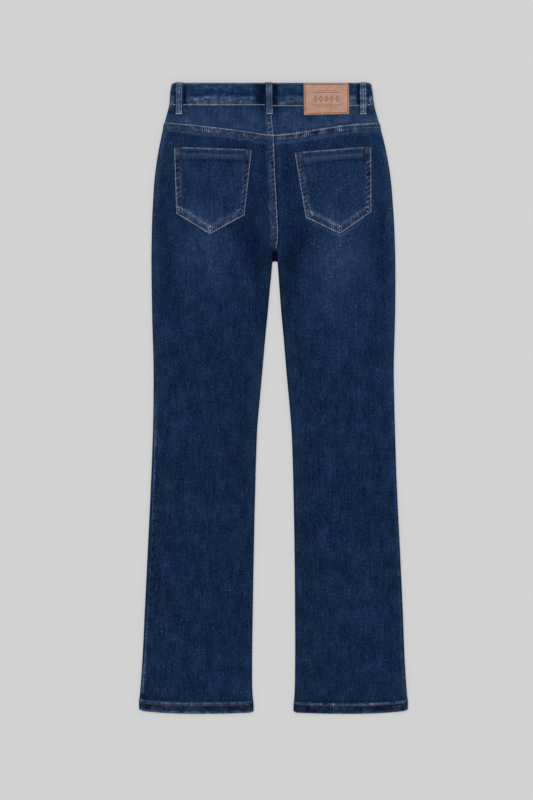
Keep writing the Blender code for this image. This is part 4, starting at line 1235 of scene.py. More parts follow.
def front_leg_finish(grid):
    """The hidden side: the same cloth and wear, with its pocket mouths and fly marked."""
    look = hem_finish(grid, LEG_FADE + 0.03 + 0.0 * grid.down)
    lower = 1.0 - grid.upper
    thigh = np.exp(-((abs(grid.across) - 105.0) / 42.0) ** 2 - ((grid.down - 330.0) / 130.0) ** 2)
    mouth = pocket_mouth_distance(grid.across, grid.down) + MUCH * grid.upper
    fade = look.fade + 0.06 * thigh * lower + streaks(mouth, MOUTH_STREAKS)
    return look._replace(fade=fade, relief=-0.25 * line(mouth, -1.4, 1.2) * lower)


def waistband_finish(face):
    def finish(grid):
        across, from_waist = grid.across, grid.from_top
        mottle = cloudy(across / 11.0, from_waist / 3.0)
        ridge = smooth(21.0, 25.0, from_waist)
        lower = ridge * smooth(27.0, 31.0, from_waist)
        patches = ragged(across / 4.5, from_waist / 4.0) + 0.5 * ragged(across / 2.2, from_waist / 2.2)
        fade = curve(WAISTBAND_WEAR, "fade")(from_waist + 1.2 * ripple(across / 16.0, 6.0) * (1.0 - lower))
        fade = fade + 0.075 * mottle + (0.075 + 0.05 * ridge + 0.02 * lower) * patches
        look = Finish(fade, 0.25 * lower, 0.35 * lower, 0.0, 0.0)
        if face == FRONT:
            return look
        fade = fade - 0.08 * ridge * worn_less(across)
        # dark cloth by the loops: unfaded by the centre loop, painted shadow beside the side loops
        shade = loop_unfaded_and_shadow(across)
        fade = fade * (1.0 - shade) + (0.12 + 0.07 * patches + 0.05 * mottle) * shade
        relief = 0.20 * ridge + 0.12 * mottle + puckers(grid.from_bottom, across, 7.0, 6.5, 0.12)
        relief = relief - groove(grid.from_bottom, WAIST_STITCHES[:1], 0.20)
        relief = relief - groove(from_waist, WAIST_STITCHES[1:], 0.12)
        return look._replace(fade=fade, relief=relief * smooth(-0.9, -0.3, grid.out_up))

    return finish


def worn_less(across):
    """Where the ridge along the waistband's lower edge is less worn."""
    return smooth(4.0, 10.0, across) * (1.0 - smooth(100.0, 120.0, across))


def loop_unfaded_and_shadow(across):
    """Dark cloth by the loops: unfaded beside and under the centre loop, and painted shadow in narrow strips
    beside the side loops' edges.
    """
    beside_centre = smooth(-38.0, -22.0, across) * (1.0 - smooth(4.5, 9.5, across))
    return np.clip(0.93 * beside_centre + streaks(across, SIDE_LOOP_SHADOWS), 0.0, 1.0)


# ---------------------------------------------------------------- the cloth panels


def level(down):
    """An edge at one level all across."""
    return lambda across: down + 0.0 * across


def dipped(down):
    """An edge that dips with the waist towards the centre front."""
    return lambda across: down + front_dip(across)


def below_waistband(across):
    return waistband_edge(across) + SEAM_GAP


def yoke_edge(across):
    return yoke_seam(across) - SEAM_GAP


HEM_BAND = Band("bottom", HEM, HEM_RISE, NEVER, NEVER + 1.0)
YOKE_SEAM_BAND = Band("top", YOKE_BAND, BAND_RISE, NEVER, NEVER + 1.0)
CENTRE_SEAM_BAND = Band("inner", CENTRE_BAND, BAND_RISE, CENTRE_BAND_FROM, CENTRE_BAND_TO)

# Rows from the top, from the bottom and between. Columns likewise, from the outer and the inner edge.
BACK_SEAT_ROWS = lines(every(0.8, 14.4), every(1.0, 30.0), 76)
BACK_THIGH_ROWS = lines(every(1.0, 4.0), every(0.8, 20.8), 300)
FRONT_SEAT_ROWS = lines(every(1.6, 14.4), every(1.0, 8.0), 60)
FRONT_THIGH_ROWS = lines(every(1.0, 4.0), every(0.9, 19.8), 160)
YOKE_ROWS = lines(every(0.9, 5.4), every(0.9, 5.4), 16)
WAISTBAND_ROWS = lines(every(0.5, 3.0), every(0.5, 3.0), 30)
BACK_COLUMNS = (every(0.6, 9.0), every(0.7, 11.2), 66)
FRONT_COLUMNS = (every(0.9, 9.0), every(0.9, 6.3), 56)
WAISTBAND_BACK_COLUMNS = lines(every(0.7, 14.0), every(0.7, 14.0), 150)
WAISTBAND_FRONT_COLUMNS = (every(0.8, 11.2), every(0.8, 4.8), 72)
PARTING = 0.05              # from the last level at which the legs meet to the first at which they don't


def for_side(side, columns):
    """Columns from the low-x end, given the ones at the outer and at the inner edge."""
    at_outer, at_inner, count = columns
    return lines(at_outer, at_inner, count) if side == LEFT else lines(at_inner, at_outer, count)


def leg_panel(face, side, top, seat_rows, thigh_rows, columns, bands):
    seat = Stretch(top, level(CROTCH), seat_rows)
    thigh = Stretch(level(CROTCH + PARTING), hem_edge, thigh_rows)
    return Panel(BODY, face, side, top, hem_edge, [seat, thigh], for_side(side, columns), CLOTH, bands)


def plain_panel(form, face, side, top, bottom, rows, columns, wall, bands=()):
    return Panel(form, face, side, top, bottom, [Stretch(top, bottom, rows)], columns, wall, bands)


def make_cloth():
    for side, word in ((LEFT, "left"), (RIGHT, "right")):
        centre_bands = [CENTRE_SEAM_BAND] if side == LEFT else []
        cloth_piece("back_leg_" + word,
                    leg_panel(BACK, side, yoke_seam, BACK_SEAT_ROWS, BACK_THIGH_ROWS, BACK_COLUMNS,
                              [YOKE_SEAM_BAND, HEM_BAND] + centre_bands), back_leg_finish(side))
        cloth_piece("front_leg_" + word,
                    leg_panel(FRONT, side, dipped(WAISTBAND_BOTTOM + SEAM_GAP), FRONT_SEAT_ROWS,
                              FRONT_THIGH_ROWS, FRONT_COLUMNS, [HEM_BAND]), front_leg_finish)
        cloth_piece("yoke_" + word,
                    plain_panel(BODY, BACK, side, below_waistband, yoke_edge, YOKE_ROWS,
                                for_side(side, BACK_COLUMNS), CLOTH, centre_bands), yoke_finish(side))
        cloth_piece("waistband_front_" + word,
                    plain_panel(WAISTBAND, FRONT, side, dipped(WAIST_TOP), dipped(WAISTBAND_BOTTOM),
                                WAISTBAND_ROWS, for_side(side, WAISTBAND_FRONT_COLUMNS), WAISTBAND_WALL),
                    waistband_finish(FRONT))
    cloth_piece("waistband_back",
                plain_panel(WAISTBAND, BACK, None, level(WAIST_TOP), waistband_edge, WAISTBAND_ROWS,
                            WAISTBAND_BACK_COLUMNS, WAISTBAND_WALL), waistband_finish(BACK))


# ---------------------------------------------------------------- pockets and patch


def cut_points(cut, across_share, down_share):
    """Places in a cut piece of cloth with four corners, or five with a tip below."""
    places = []
    for axis in (0, 1):
        low = cut.top_low[axis] * (1.0 - down_share) + cut.bottom_low[axis] * down_share
        high = cut.top_high[axis] * (1.0 - down_share) + cut.bottom_high[axis] * down_share
        places.append(low * (1.0 - across_share) + high * across_share)
    if cut.tip:
        low, high = cut.bottom_low, cut.bottom_high
        tip = (cut.tip.across - low.across) / (high.across - low.across)
        chord = low.down * (1.0 - tip) + high.down * tip
        tent = np.minimum(across_share / tip, (1.0 - across_share) / (1.0 - tip))
        places[1] = places[1] + (cut.tip.down - chord) * tent * down_share
    return places


def edge_distance(across, down, start, end):
    """Distance of places from the line through two corners."""
    run_across, run_down = end.across - start.across, end.down - start.down
    size = np.hypot(run_across, run_down)
    return abs((across - start.across) * run_down - (down - start.down) * run_across) / size


def cut_distances(cut, across, down):
    """Distances from a cut's top, sides and lower edges."""
    top = edge_distance(across, down, cut.top_low, cut.top_high)
    low = edge_distance(across, down, cut.top_low, cut.bottom_low)
    high = edge_distance(across, down, cut.top_high, cut.bottom_high)
    if not cut.tip:
        return top, low, high, edge_distance(across, down, cut.bottom_low, cut.bottom_high)
    bottom_low = edge_distance(across, down, cut.bottom_low, cut.tip)
    bottom_high = edge_distance(across, down, cut.tip, cut.bottom_high)
    return top, low, high, np.where(across < cut.tip.across, bottom_low, bottom_high)


def lower_corners(cut):
    return cut.bottom_low, cut.tip, cut.bottom_high


def corner_rings(cut):
    """Middles of the worn rings where the inner sewn line turns, near a pocket's lower corners."""
    middle = np.array((cut.tip.across, (cut.top_low.down + cut.tip.down) / 2.0))
    for corner in lower_corners(cut):
        inward = middle - np.array(corner)
        yield np.array(corner) + inward / np.linalg.norm(inward) * RING_INSET


def pocket_shares(start, start_count, end, end_count):
    """Shares of the way through a pocket, finer over the border at its start and at its end."""
    first = np.linspace(0.0, start + 2.0 * SLOPE_SHARE, start_count)
    last = np.linspace(0.0, end + 2.0 * SLOPE_SHARE, end_count)
    middle = np.linspace(first[-1], 1.0 - last[-1], 36)[1:-1]
    return np.concatenate((first, middle, 1.0 - last[::-1]))


class PocketGrid:
    """Places on a pocket, their distances from its edges, and 1 on each border."""

    def __init__(self, cut):
        u = pocket_shares(POCKET_SIDE, 15, POCKET_SIDE, 15)[None, :]
        v = pocket_shares(POCKET_HEM, 24, POCKET_BOTTOM, 13)[:, None]
        self.cut = cut
        self.across, self.down = cut_points(cut, u, v)
        self.top, low, self.high, self.lower = cut_distances(cut, self.across, self.down)
        self.side = np.minimum(low, self.high)
        from_side = np.minimum(u, 1.0 - u)
        self.border = 1.0 - smooth(POCKET_SIDE, POCKET_SIDE + SLOPE_SHARE, from_side)
        bottom = 1.0 - smooth(POCKET_BOTTOM, POCKET_BOTTOM + SLOPE_SHARE, 1.0 - v)
        self.borders = np.maximum(self.border, bottom)
        self.bottom = bottom * (1.0 - self.border)
        self.hem = 1.0 - smooth(POCKET_HEM_DEPTH, POCKET_HEM_DEPTH + BAND_FALL, self.top)
        nearest = np.minimum(np.minimum(from_side, v), 1.0 - v)
        self.rise = np.maximum(POCKET_BORDER_RISE * self.borders, POCKET_HEM_RISE * self.hem)
        self.rise = self.rise - EDGE_ROUNDING * (1.0 - smooth(0.0, EDGE_SHARE, nearest))


def pocket_fade(grid):
    cut, across, down, top, side, lower = grid.cut, grid.across, grid.down, grid.top, grid.side, grid.lower
    uneven = 0.8 * ripple(across / 9.0, down / 9.0)
    fade = POCKET_FADE + 0.025 * cloudy(across / 22.0, down / 22.0)
    fade = fade + 0.08 * np.exp(-((across - cut.tip.across) / 40.0) ** 2 - ((down - 226.0) / 20.0) ** 2)
    # the shadow under the hem sags away from the middle
    sag = 3.5 * ((across - cut.tip.across - 8.0) / 60.0) ** 2 * smooth(12.0, 17.0, top)
    fade = worn(fade, POCKET_TOP_WEAR_AND_SHADE, top + uneven - sag)
    fade = worn(fade, POCKET_SIDE_WEAR, side + uneven)
    fade = worn(fade, POCKET_BOTTOM_WEAR, lower + uneven * (lower > 3.0))
    mottled = grid.borders - 0.6 * line(top, 11.0, 5.0) * (1.0 - grid.borders)
    fade = fade + 0.10 * ragged(across / 3.4, down / 3.4) * mottled
    fade = fade - 0.17 * line(side, 9.5, 3.5) * line(top, 20.0, 8.0)
    for corner in lower_corners(cut):
        fade = fade + 0.08 * np.exp(-((across - corner.across) ** 2 + (down - corner.down) ** 2) / 30.0)
    for ring in corner_rings(cut):
        fade = fade + streaks(np.hypot(across - ring[0], down - ring[1]), RING_STREAKS)
    # painted shade: the border on the high-across side of each pocket is darker
    fade = fade - 0.07 * (1.0 - smooth(9.0, 13.0, grid.high))
    return fade - 0.10 * line(lower, 13.0, 3.0) * (across > cut.tip.across)


def pocket_relief(grid):
    across, down, side, lower = grid.across, grid.down, grid.side, grid.lower
    relief = roping(down, side, 0.6, 8.0, 0.12) * grid.border * (1.0 - grid.hem)
    relief = relief + roping(across, lower, 0.6, 7.0, 0.10) * grid.bottom
    relief = relief + puckers(side - 9.7, down, 4.0, 7.5, 0.10) * (1.0 - grid.borders)
    relief = relief + 0.08 * cloudy(across / 12.0, down / 9.0) * (1.0 - grid.borders)
    relief = relief - groove(np.minimum(side, lower), POCKET_STITCHES, POCKET_GROOVE)
    return relief - groove(grid.top, [POCKET_HEM_STITCH], POCKET_GROOVE)


def make_pocket(node, cut):
    grid = PocketGrid(cut)
    relief = pocket_relief(grid)
    tint = 0.22 * grid.border + 0.26 * grid.bottom + 0.12 * grid.hem
    finish = Finish(pocket_fade(grid), tint, 0.6 * grid.bottom, 0.9 * grid.border * (1.0 - grid.hem), relief)
    base = back_height(grid.across, grid.down) + LYING_GAP
    outer = np.stack((grid.across, grid.down, base + POCKET_WALL + grid.rise + relief), axis=-1)
    inner = np.stack((grid.across, grid.down, base), axis=-1)
    piece = shell("cloth_" + node, outer, inner, finish, BACK, DENIM)
    settle(piece, node)


def dressed_back(across, down):
    """Outer face of the back with its waistband, eased over the waistband's lower edge."""
    edge = waistband_edge(across)
    eased = smooth(edge + SEAM_GAP, edge + WAIST_EASE, down)
    return waistband_top(across, down) * (1.0 - eased) + back_height(across, down) * eased


def patch_top(across, down):
    return dressed_back(across, down) + LYING_GAP + PATCH_WALL


def patch_shares(step, count):
    """Shares of the way through the patch, with five finer steps at each end."""
    first = every(step, 4.0 * step)
    return np.concatenate((first, np.linspace(5.0 * step, 1.0 - 5.0 * step, count), 1.0 - first[::-1]))


def make_patch():
    u, v = patch_shares(0.006, 84)[None, :], patch_shares(0.008, 62)[:, None]
    across, down = cut_points(PATCH_CORNERS, u, v)
    from_edge = np.minimum.reduce(cut_distances(PATCH_CORNERS, across, down))
    rounding = EDGE_ROUNDING * (1.0 - smooth(0.0, 1.3, from_edge))
    relief = 0.10 * cloudy(across / 13.0, down / 11.0) - groove(from_edge, [PATCH_STITCH], 0.30)
    outer = np.stack((across, down, patch_top(across, down) - rounding + relief), axis=-1)
    inner = np.stack((across, down, dressed_back(across, down) + LYING_GAP), axis=-1)
    piece = shell("leather_patch", outer, inner, Finish(0.0, 0.0, 0.0, 0.0, 0.0), BACK, LEATHER)
    places = np.array([vertex.co[:2] for vertex in piece.data.vertices]) * 1000.0
    across, down = places[:, 0], LENGTH / 2.0 - places[:, 1]
    middle = np.mean([corner for corner in PATCH_CORNERS if corner], axis=0)
    from_edge = np.minimum.reduce(cut_distances(PATCH_CORNERS, across, down))
    keep_values(piece.data, "place", [across - middle[0], down - middle[1], from_edge])
    settle(piece, "patch")


# ---------------------------------------------------------------- belt loops


def loop_stations(loop):
    """A loop's inner line and the way to its outer face, down and up."""
    on_back = loop.face == BACK
    dip = 0.0 if on_back else front_dip(loop.top_across)
    surface = WAIST_HEIGHT + WAIST_WAVE if on_back else FRONT_LIFT
    over = surface + loop.face * SEAM_GAP
    below = over
    if on_back and not loop.over_seam:
        below = float(back_height(loop.end_across, LOOP_END - LOOP_STEP_TO)) + LYING_GAP
    behind = WAIST_TOP + dip - SEAM_GAP
    hook = BACK_LOOP_HOOK if on_back else FRONT_LOOP_HOOK
    out = loop.face * (LOOP_WALL if on_back else LOOP_WALL - UNDERSIDE)
    edge = float(waistband_edge(loop.top_across)) if on_back else WAISTBAND_BOTTOM + dip
    stations = [(behind, over - loop.face * hook, -LOOP_TOP_WALL, 0.0),
                (behind, over - loop.face * LOOP_TURN, -LOOP_TOP_WALL, 0.0),
                (behind, over, -LOOP_CORNER * LOOP_TOP_WALL, LOOP_CORNER * out)]
    flat = [(behind + LOOP_FLAT, over), (edge + LOOP_STEP_FROM, over), (edge + LOOP_STEP_TO, below),
            (LOOP_END + dip, below)]
    return np.array(stations + [(down, height, 0.0, out) for down, height in flat])


def loop_path(loop):
    """The stations' values at small, even steps, with rounded turns."""
    stations = loop_stations(loop)
    run = np.concatenate(([0.0], np.cumsum(np.hypot(*np.diff(stations[:, :2], axis=0).T))))
    steps = np.linspace(0.0, run[-1], int(run[-1] / 0.8))
    path = np.stack([np.interp(steps, run, column) for column in stations.T], axis=-1)
    for _ in range(3):
        path[1:-1] = (path[:-2] + 2.0 * path[1:-1] + path[2:]) / 4.0
    return steps, path


def loop_middle(loop, path, rows=slice(None)):
    """Where the loop's middle line is across, at some rows of its path."""
    share = (path[rows, 0] - path[0, 0]) / (path[-1, 0] - path[0, 0])
    return loop.top_across * (1.0 - share) + loop.end_across * share


def make_loop(loop):
    steps, path = loop_path(loop)
    half = LOOP_WIDTH / 2.0
    offsets = np.linspace(-half, half, 21)[None, :]
    middle = loop_middle(loop, path)[:, None]
    across = middle + offsets
    down = path[:, 0:1] + (front_dip(across) - front_dip(middle) if loop.face == FRONT else 0.0 * across)
    out_down, out_up = path[:, 2:3], path[:, 3:4]

    from_edge = half - abs(offsets)
    uneven = ragged(steps[:, None] / 3.0, loop.top_across + 0.0 * offsets)
    wall_share = 1.0 - 0.30 * (1.0 - smooth(0.0, 1.0, from_edge)) - 0.10 * line(from_edge, 2.0, 0.7)
    wall_share = wall_share + 0.06 * line(from_edge, half, 1.6) + 0.03 * uneven
    # painted shade darkens the outermost line along each side of the loop; it is paler along its middle and
    # in a ridge near each edge
    fade = LOOP_FADE - 0.12 * line(from_edge, 0.0, 0.7) + 0.24 * line(from_edge, half, 1.8)
    fade = fade + 0.27 * line(from_edge, 1.7, 0.8) * (1.0 + 0.3 * uneven) + 0.14 * uneven
    fade = fade + 0.08 * (1.0 - smooth(2.0, 7.0, steps))[:, None]
    if loop.over_seam:
        fade = fade - 0.14 * line(steps, 34.0, 13.0)[:, None]
    outer = np.stack((across, down + wall_share * out_down, path[:, 1:2] + wall_share * out_up), axis=-1)
    inner = np.stack(np.broadcast_arrays(across, down, path[:, 1:2]), axis=-1)
    piece = shell("cloth_" + loop.name, outer, inner, Finish(fade, 0.12, 0.0, 0.25, 0.0), loop.face, DENIM)
    settle(piece, loop.name)


# ---------------------------------------------------------------- sewing

# A sewn line: places on the cloth in order, the side that it is on, and its thread's sizes.
Run = namedtuple("Run", "across down height face pitch width")
STITCH_SIDES = 6
STITCH_RINGS = [(-0.42, 0.62, -0.25), (0.0, 1.0, 0.0), (0.42, 0.62, -0.25)]     # along, size, dip
STITCH_TIP_DIP = -0.6


def stitch_form():
    """Places and faces of one stitch, one unit long, wide and high."""
    points, faces = [(-0.5, 0.0, STITCH_TIP_DIP)], []
    for along, size, dip in STITCH_RINGS:
        for corner in range(STITCH_SIDES):
            angle = 2.0 * pi * corner / STITCH_SIDES
            points.append((along, 0.5 * size * np.cos(angle), 0.5 * size * np.sin(angle) + dip))
    points.append((0.5, 0.0, STITCH_TIP_DIP))
    last = len(points) - 1
    for corner in range(STITCH_SIDES):
        after = (corner + 1) % STITCH_SIDES
        faces.append((0, 1 + after, 1 + corner))
        for ring in range(len(STITCH_RINGS) - 1):
            first = 1 + ring * STITCH_SIDES
            faces.append((first + corner, first + after, first + STITCH_SIDES + after,
                          first + STITCH_SIDES + corner))
        first = last - STITCH_SIDES
        faces.append((last, first + corner, first + after))
    return np.array(points), faces


def stitch_places(run, random):
    """Middle, direction and length of each stitch along a run."""
    path = np.stack(np.broadcast_arrays(run.across, run.down, run.height), axis=-1)
    distance = np.concatenate(([0.0], np.cumsum(np.linalg.norm(np.diff(path, axis=0), axis=1))))
    count = max(1, int(distance[-1] / run.pitch))
    pitch = distance[-1] / count
    middle = (np.arange(count) + 0.5 + random.uniform(-0.04, 0.04, count)) * pitch
    half = pitch * STITCH_SHARE / 2.0 * random.uniform(0.92, 1.06, count)
    ends = [np.stack([np.interp(middle + way * half, distance, column) for column in path.T], axis=-1)
            for way in (-1.0, 1.0)]
    return (ends[0] + ends[1]) / 2.0, ends[1] - ends[0]


def make_stitches(name, runs, material):
    form, form_faces = stitch_form()
    random = np.random.default_rng(len(name))
    points, faces = [], []
    for run in runs:
        middles, spans = stitch_places(run, random)
        lengths = np.linalg.norm(spans, axis=1)
        ahead = spans / lengths[:, None] * np.array((1.0, -1.0, 1.0))
        up = np.array((0.0, 0.0, float(run.face)))
        aside = np.cross(up, ahead)
        aside = aside / np.linalg.norm(aside, axis=1)[:, None]
        up = np.cross(ahead, aside)
        for centre, length, forward, sideways, upwards in zip(in_frame(middles), lengths, ahead, aside, up):
            first = len(points) * len(form)
            points.append(centre + (form[:, 0:1] * length * forward + form[:, 1:2] * run.width * sideways
                                    + form[:, 2:3] * THREAD * upwards) / 1000.0)
            faces += [tuple(first + corner for corner in face) for face in form_faces]
    piece = new_object(name, np.concatenate(points), faces, material, sharp=3.0)
    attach(piece, "root")


def between(start, end, step=2.0):
    return np.linspace(start, end, max(2, int(abs(end - start) / step)))


def back_run(across, down, lift, width=1.0, pitch=PITCH):
    """A sewn line on the back cloth, where it stands out by a lift."""
    return Run(across, down, back_height(across, down) + lift, BACK, pitch, width)


def front_run(across, down):
    return Run(across, down, front_height(across, down), FRONT, PITCH, 0.9)


def yoke_runs():
    across = between(YOKE_SEAM[0].across + FOLD_CLEAR + 1.3, YOKE_SEAM[-1].across - FOLD_CLEAR - 1.3)
    down = yoke_seam(across) + yoke_shift(across)
    return [back_run(across, down + distance, BAND_RISE) for distance in YOKE_STITCHES]


def centre_runs():
    down = between(LOOP_END + 2.0, CENTRE_STITCHES_END)
    lift = BAND_RISE * (1.0 - smooth(CENTRE_BAND_FROM, CENTRE_BAND_TO, down))
    return [back_run(centre_back(down) - distance, down, lift) for distance in CENTRE_STITCHES]


def hem_runs(face):
    runs = []
    for side in (LEFT, RIGHT):
        outer, inner = outer_side[side](HEM_LEVEL), inner_side[side](HEM_LEVEL)
        across = between(outer - side * FOLD_CLEAR, inner + side * FOLD_CLEAR)
        down = hem_edge(across) - HEM_STITCH
        runs.append(back_run(across, down, HEM_RISE) if face == BACK else front_run(across, down))
    return runs


def spans_clear_of(start, end, blocks):
    """Stretches of a line between its ends that keep out of the blocked ones."""
    spans, here = [], start
    for low, high in sorted(blocks):
        if low > here:
            spans.append((here, low))
        here = max(here, high)
    return spans + ([(here, end)] if end > here else [])


def waistband_runs(face, edge):
    """The sewn line along the waistband's lower or upper edge."""
    blocks = [(loop.top_across - LOOP_CLEAR, loop.top_across + LOOP_CLEAR) for loop in LOOPS
              if loop.face == face]
    if face == BACK:
        blocks.append((PATCH_CORNERS.top_low.across - 1.0, PATCH_CORNERS.top_high.across + 3.0))
        top, bottom, surface, lift = level(WAIST_TOP), waistband_edge, waistband_top, WAIST_STITCH_LIFT
    else:
        top, bottom, surface, lift = dipped(WAIST_TOP), dipped(WAISTBAND_BOTTOM), waistband_underside, 0.0
    runs = []
    for start, end in spans_clear_of(WAIST_STITCHED[0], WAIST_STITCHED[1], blocks):
        across = between(start, end)
        down = top(across) + WAIST_STITCHES[1] if edge == "upper" else bottom(across) - WAIST_STITCHES[0]
        runs.append(Run(across, down, surface(across, down) + lift, face, PITCH, 1.5))
    return runs


def inset_cut(cut, distance):
    """The corners of a cut, moved in by a distance from each edge."""
    corners = np.array([corner for corner in cut if corner])
    centre = corners.mean(axis=0)
    edges = []
    for start, end in zip(corners, np.roll(corners, -1, axis=0)):
        run = (end - start) / np.linalg.norm(end - start)
        inward = np.array((-run[1], run[0]))
        inward = inward * np.sign(np.dot(centre - start, inward))
        edges.append((start + inward * distance, run))
    moved = []
    for (point, run), (before, run_before) in zip(edges, [edges[-1]] + edges[:-1]):
        share = np.linalg.solve(np.stack((run_before, -run), axis=1), point - before)
        moved.append(before + share[0] * run_before)
    return moved


def along_corners(corners):
    """Places along the lines through some corners."""
    path = [corners[0]]
    for start, end in zip(corners, corners[1:]):
        count = max(2, int(np.linalg.norm(end - start) / 2.0))
        path += [start + (end - start) * step / count for step in range(1, count + 1)]
    return np.array(path).T


def pocket_outline_run(cut, distance, width):
    """A sewn line down one side of a pocket, round its tip and up the other."""
    top_low, top_high, bottom_high, tip, bottom_low = inset_cut(cut, distance)
    drop = np.array((0.0, POCKET_TOP_CLEAR))
    across, down = along_corners([top_high + drop, bottom_high, tip, bottom_low, top_low + drop])
    return back_run(across, down, LYING_GAP + POCKET_WALL + POCKET_BORDER_RISE, width, FINE_PITCH)


def pocket_hem_run(cut):
    top_low, top_high = inset_cut(cut, POCKET_HEM_STITCH)[:2]
    run = (top_high - top_low) / np.linalg.norm(top_high - top_low)
    across, down = along_corners([top_low, top_high - run])
    return back_run(across, down, LYING_GAP + POCKET_WALL + POCKET_HEM_RISE, 1.0, FINE_PITCH)


def bartack(across, down, height, reach, face=BACK, along_down=False):
    """Threads side by side over a bar's length, each as long as the bar's reach."""
    steps = np.arange(-BARTACK_HALF, BARTACK_HALF + 0.01, BARTACK_STEP)
    thread, still = np.array((-reach / 2.0, reach / 2.0)), np.zeros(2)
    for step in steps:
        aside, below = (thread, still + step) if along_down else (still + step, thread)
        yield Run(across + aside, down + below, still + height, face, reach, 0.62)


def loop_bartacks(face):
    runs = []
    for loop in LOOPS:
        if loop.face == face:
            _, path = loop_path(loop)
            lift = path[-1, 3] + (0.1 if face == BACK else 0.25)
            runs += bartack(loop.end_across, path[-1, 0] - 1.6, path[-1, 1] + lift, 2.8, face)
    return runs


def loop_runs(face):
    """Two sewn lines down each loop."""
    runs = []
    for loop in LOOPS:
        if loop.face == face:
            _, path = loop_path(loop)
            flat = (path[:, 3] * face > 1.2) & (path[:, 0] < path[-1, 0] - 4.0)
            middle = loop_middle(loop, path, flat)
            height = path[flat, 1] + 0.93 * path[flat, 3]
            aside = LOOP_WIDTH / 2.0 - LOOP_STITCH
            runs += [Run(middle + way * aside, path[flat, 0], height, face, FINE_PITCH, 0.8)
                     for way in (LEFT, RIGHT)]
    return runs


def pocket_bartacks(cut):
    runs = []
    for corner, way in ((cut.top_low, 1.0), (cut.top_high, -1.0)):
        height = float(back_height(corner.across, corner.down)) + LYING_GAP + POCKET_WALL + POCKET_HEM_RISE
        for inset in POCKET_BARTACKS:
            runs += bartack(corner.across + way * inset, corner.down + POCKET_BARTACK_DOWN, height, 2.4,
                            along_down=True)
    return runs


def patch_runs():
    corners = inset_cut(PATCH_CORNERS, PATCH_STITCH)
    across, down = along_corners(corners + corners[:1])
    return [Run(across, down, patch_top(across, down), BACK, 3.3, 1.1)]


def fly_runs():
    """The fly's curved double line, and the seam from it to the crotch."""
    runs = []
    start = WAISTBAND_BOTTOM + FRONT_DIP + 2.0
    straight, turn = between(start, FLY_STRAIGHT), between(0.0, pi / 2.0, 0.06)
    for inset in FLY_STITCHES:
        width, depth = FLY_WIDTH - inset, FLY_END - FLY_STRAIGHT - inset
        across = np.concatenate((np.full(len(straight), -width), -width * np.cos(turn)))
        down = np.concatenate((straight, FLY_STRAIGHT + depth * np.sin(turn)))
        runs.append(front_run(CENTRE_FRONT + across, down))
    for distance, top in zip(CENTRE_STITCHES, (start, FLY_END)):
        down = between(top, CROTCH - 6.0)
        runs.append(front_run(CENTRE_FRONT - distance + 0.0 * down, down))
    return runs


def mouth_runs():
    runs = []
    turn = between(0.06, pi / 2.0 - 0.03, 0.03)
    for side in (LEFT, RIGHT):
        for reach in MOUTH_STITCHES:
            across = side * (MOUTH_SIDE - reach * MOUTH_WIDTH * np.cos(turn))
            down = WAISTBAND_BOTTOM + front_dip(across) + reach * MOUTH_DEPTH * np.sin(turn)
            runs.append(front_run(across, down))
    return runs


def make_sewing():
    upper_yoke, lower_yoke = yoke_runs()
    outer_centre, inner_centre = centre_runs()
    make_stitches("stitches_yoke_upper", [upper_yoke], PALE_THREAD)
    make_stitches("stitches_yoke_lower", [lower_yoke], DULL_THREAD)
    make_stitches("stitches_centre_back", [outer_centre], PALE_THREAD)
    make_stitches("stitches_centre_back_inner", [inner_centre], DULL_THREAD)
    make_stitches("stitches_waistband_back", waistband_runs(BACK, "lower"), PALE_THREAD)
    make_stitches("stitches_waistband_back_top", waistband_runs(BACK, "upper"), GREY_THREAD)
    make_stitches("stitches_hems_back", hem_runs(BACK), RUST_THREAD)
    outer, inner = POCKET_STITCHES
    for node, cut in POCKETS.items():
        make_stitches("stitches_outer_" + node, [pocket_outline_run(cut, outer, 1.1)], PALE_THREAD)
        make_stitches("stitches_inner_" + node, [pocket_outline_run(cut, inner, 0.9)], DULL_THREAD)
        make_stitches("stitches_hem_" + node, [pocket_hem_run(cut)], RUST_THREAD)
        make_stitches("bartacks_" + node, pocket_bartacks(cut), RUST_THREAD)
    make_stitches("stitches_loops_back", loop_runs(BACK), GREY_THREAD)
    make_stitches("bartacks_loops_back", loop_bartacks(BACK), PALE_THREAD)
    make_stitches("stitches_patch", patch_runs(), DARK_THREAD)
    front_waist = waistband_runs(FRONT, "lower") + waistband_runs(FRONT, "upper")
    make_stitches("stitches_waistband_front", front_waist, PALE_THREAD)
    make_stitches("stitches_loops_front", loop_runs(FRONT) + loop_bartacks(FRONT), PALE_THREAD)
    make_stitches("stitches_front", fly_runs() + mouth_runs() + hem_runs(FRONT), RUST_THREAD)


# ---------------------------------------------------------------- floor, light, camera

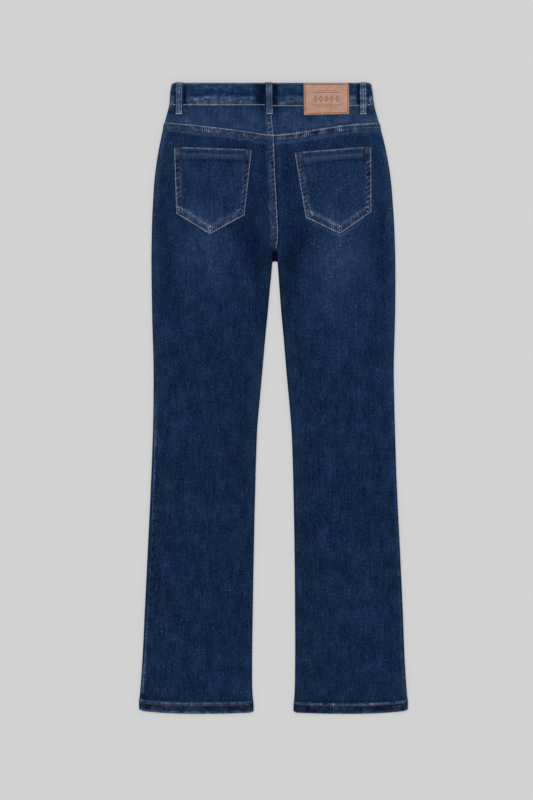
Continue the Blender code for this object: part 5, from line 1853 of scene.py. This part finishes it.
FLOOR_SIZE = 14.0
FLOOR_GLOW = 0.22           # the floor's own light, which keeps the shadow on it as faint as shown
FLOOR_DOWN = -0.0004
SKY_LIGHT = 0.42
SUN_LIGHT = 1.37
SUN_WIDTH = radians(44.0)
SUN_TURN = (radians(-12.0), radians(-11.0), 0.0)
CAMERA_HEIGHT = 8.0
CAMERA_PLACE = (-0.0115, -0.0034)
FRAME_HEIGHT = 1.3304       # length of the surface that fills the picture's height


def make_stage():
    tree = Tree("pale_floor", Roughness=0.95, Specular_IOR_Level=0.0, Emission_Strength=FLOOR_GLOW)
    haze = tree.noise((3.0, 3.0, 3.0), 1.0)
    tree.colour(tree.ramp(haze * 0.2 + 0.5, [(0.0, (175, 175, 175)), (1.0, (177, 177, 177))]))
    half = FLOOR_SIZE / 2.0
    corners = [(-half, -half), (half, -half), (half, half), (-half, half)]
    points = np.array([(*corner, FLOOR_DOWN) for corner in corners])
    floor = new_object("floor", points, [(0, 1, 2, 3)], tree.material)


def make_light():
    world = bpy.data.worlds.new("soft_studio")
    world.use_nodes = True
    background = world.node_tree.nodes["Background"]
    background.inputs["Color"].default_value = (1.0, 1.0, 1.0, 1.0)
    background.inputs["Strength"].default_value = SKY_LIGHT
    bpy.context.scene.world = world
    data = bpy.data.lights.new("softbox", "SUN")
    data.energy = SUN_LIGHT
    data.angle = SUN_WIDTH
    light = bpy.data.objects.new("softbox", data)
    light.rotation_euler = SUN_TURN
    bpy.context.scene.collection.objects.link(light)


def make_camera():
    data = bpy.data.cameras.new("camera")
    data.sensor_width = 36.0
    data.lens = data.sensor_width * CAMERA_HEIGHT / FRAME_HEIGHT
    camera = bpy.data.objects.new("camera", data)
    camera.location = (*CAMERA_PLACE, CAMERA_HEIGHT)
    bpy.context.scene.collection.objects.link(camera)
    bpy.context.scene.camera = camera
    bpy.context.scene.view_settings.view_transform = "Standard"


make_stage()
make_light()
make_camera()
make_cloth()
for pocket_node, pocket_cut in POCKETS.items():
    make_pocket(pocket_node, pocket_cut)
make_patch()
for belt_loop in LOOPS:
    make_loop(belt_loop)
make_sewing()
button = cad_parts["button"]
button.data.materials.clear()
button.data.materials.append(METAL)
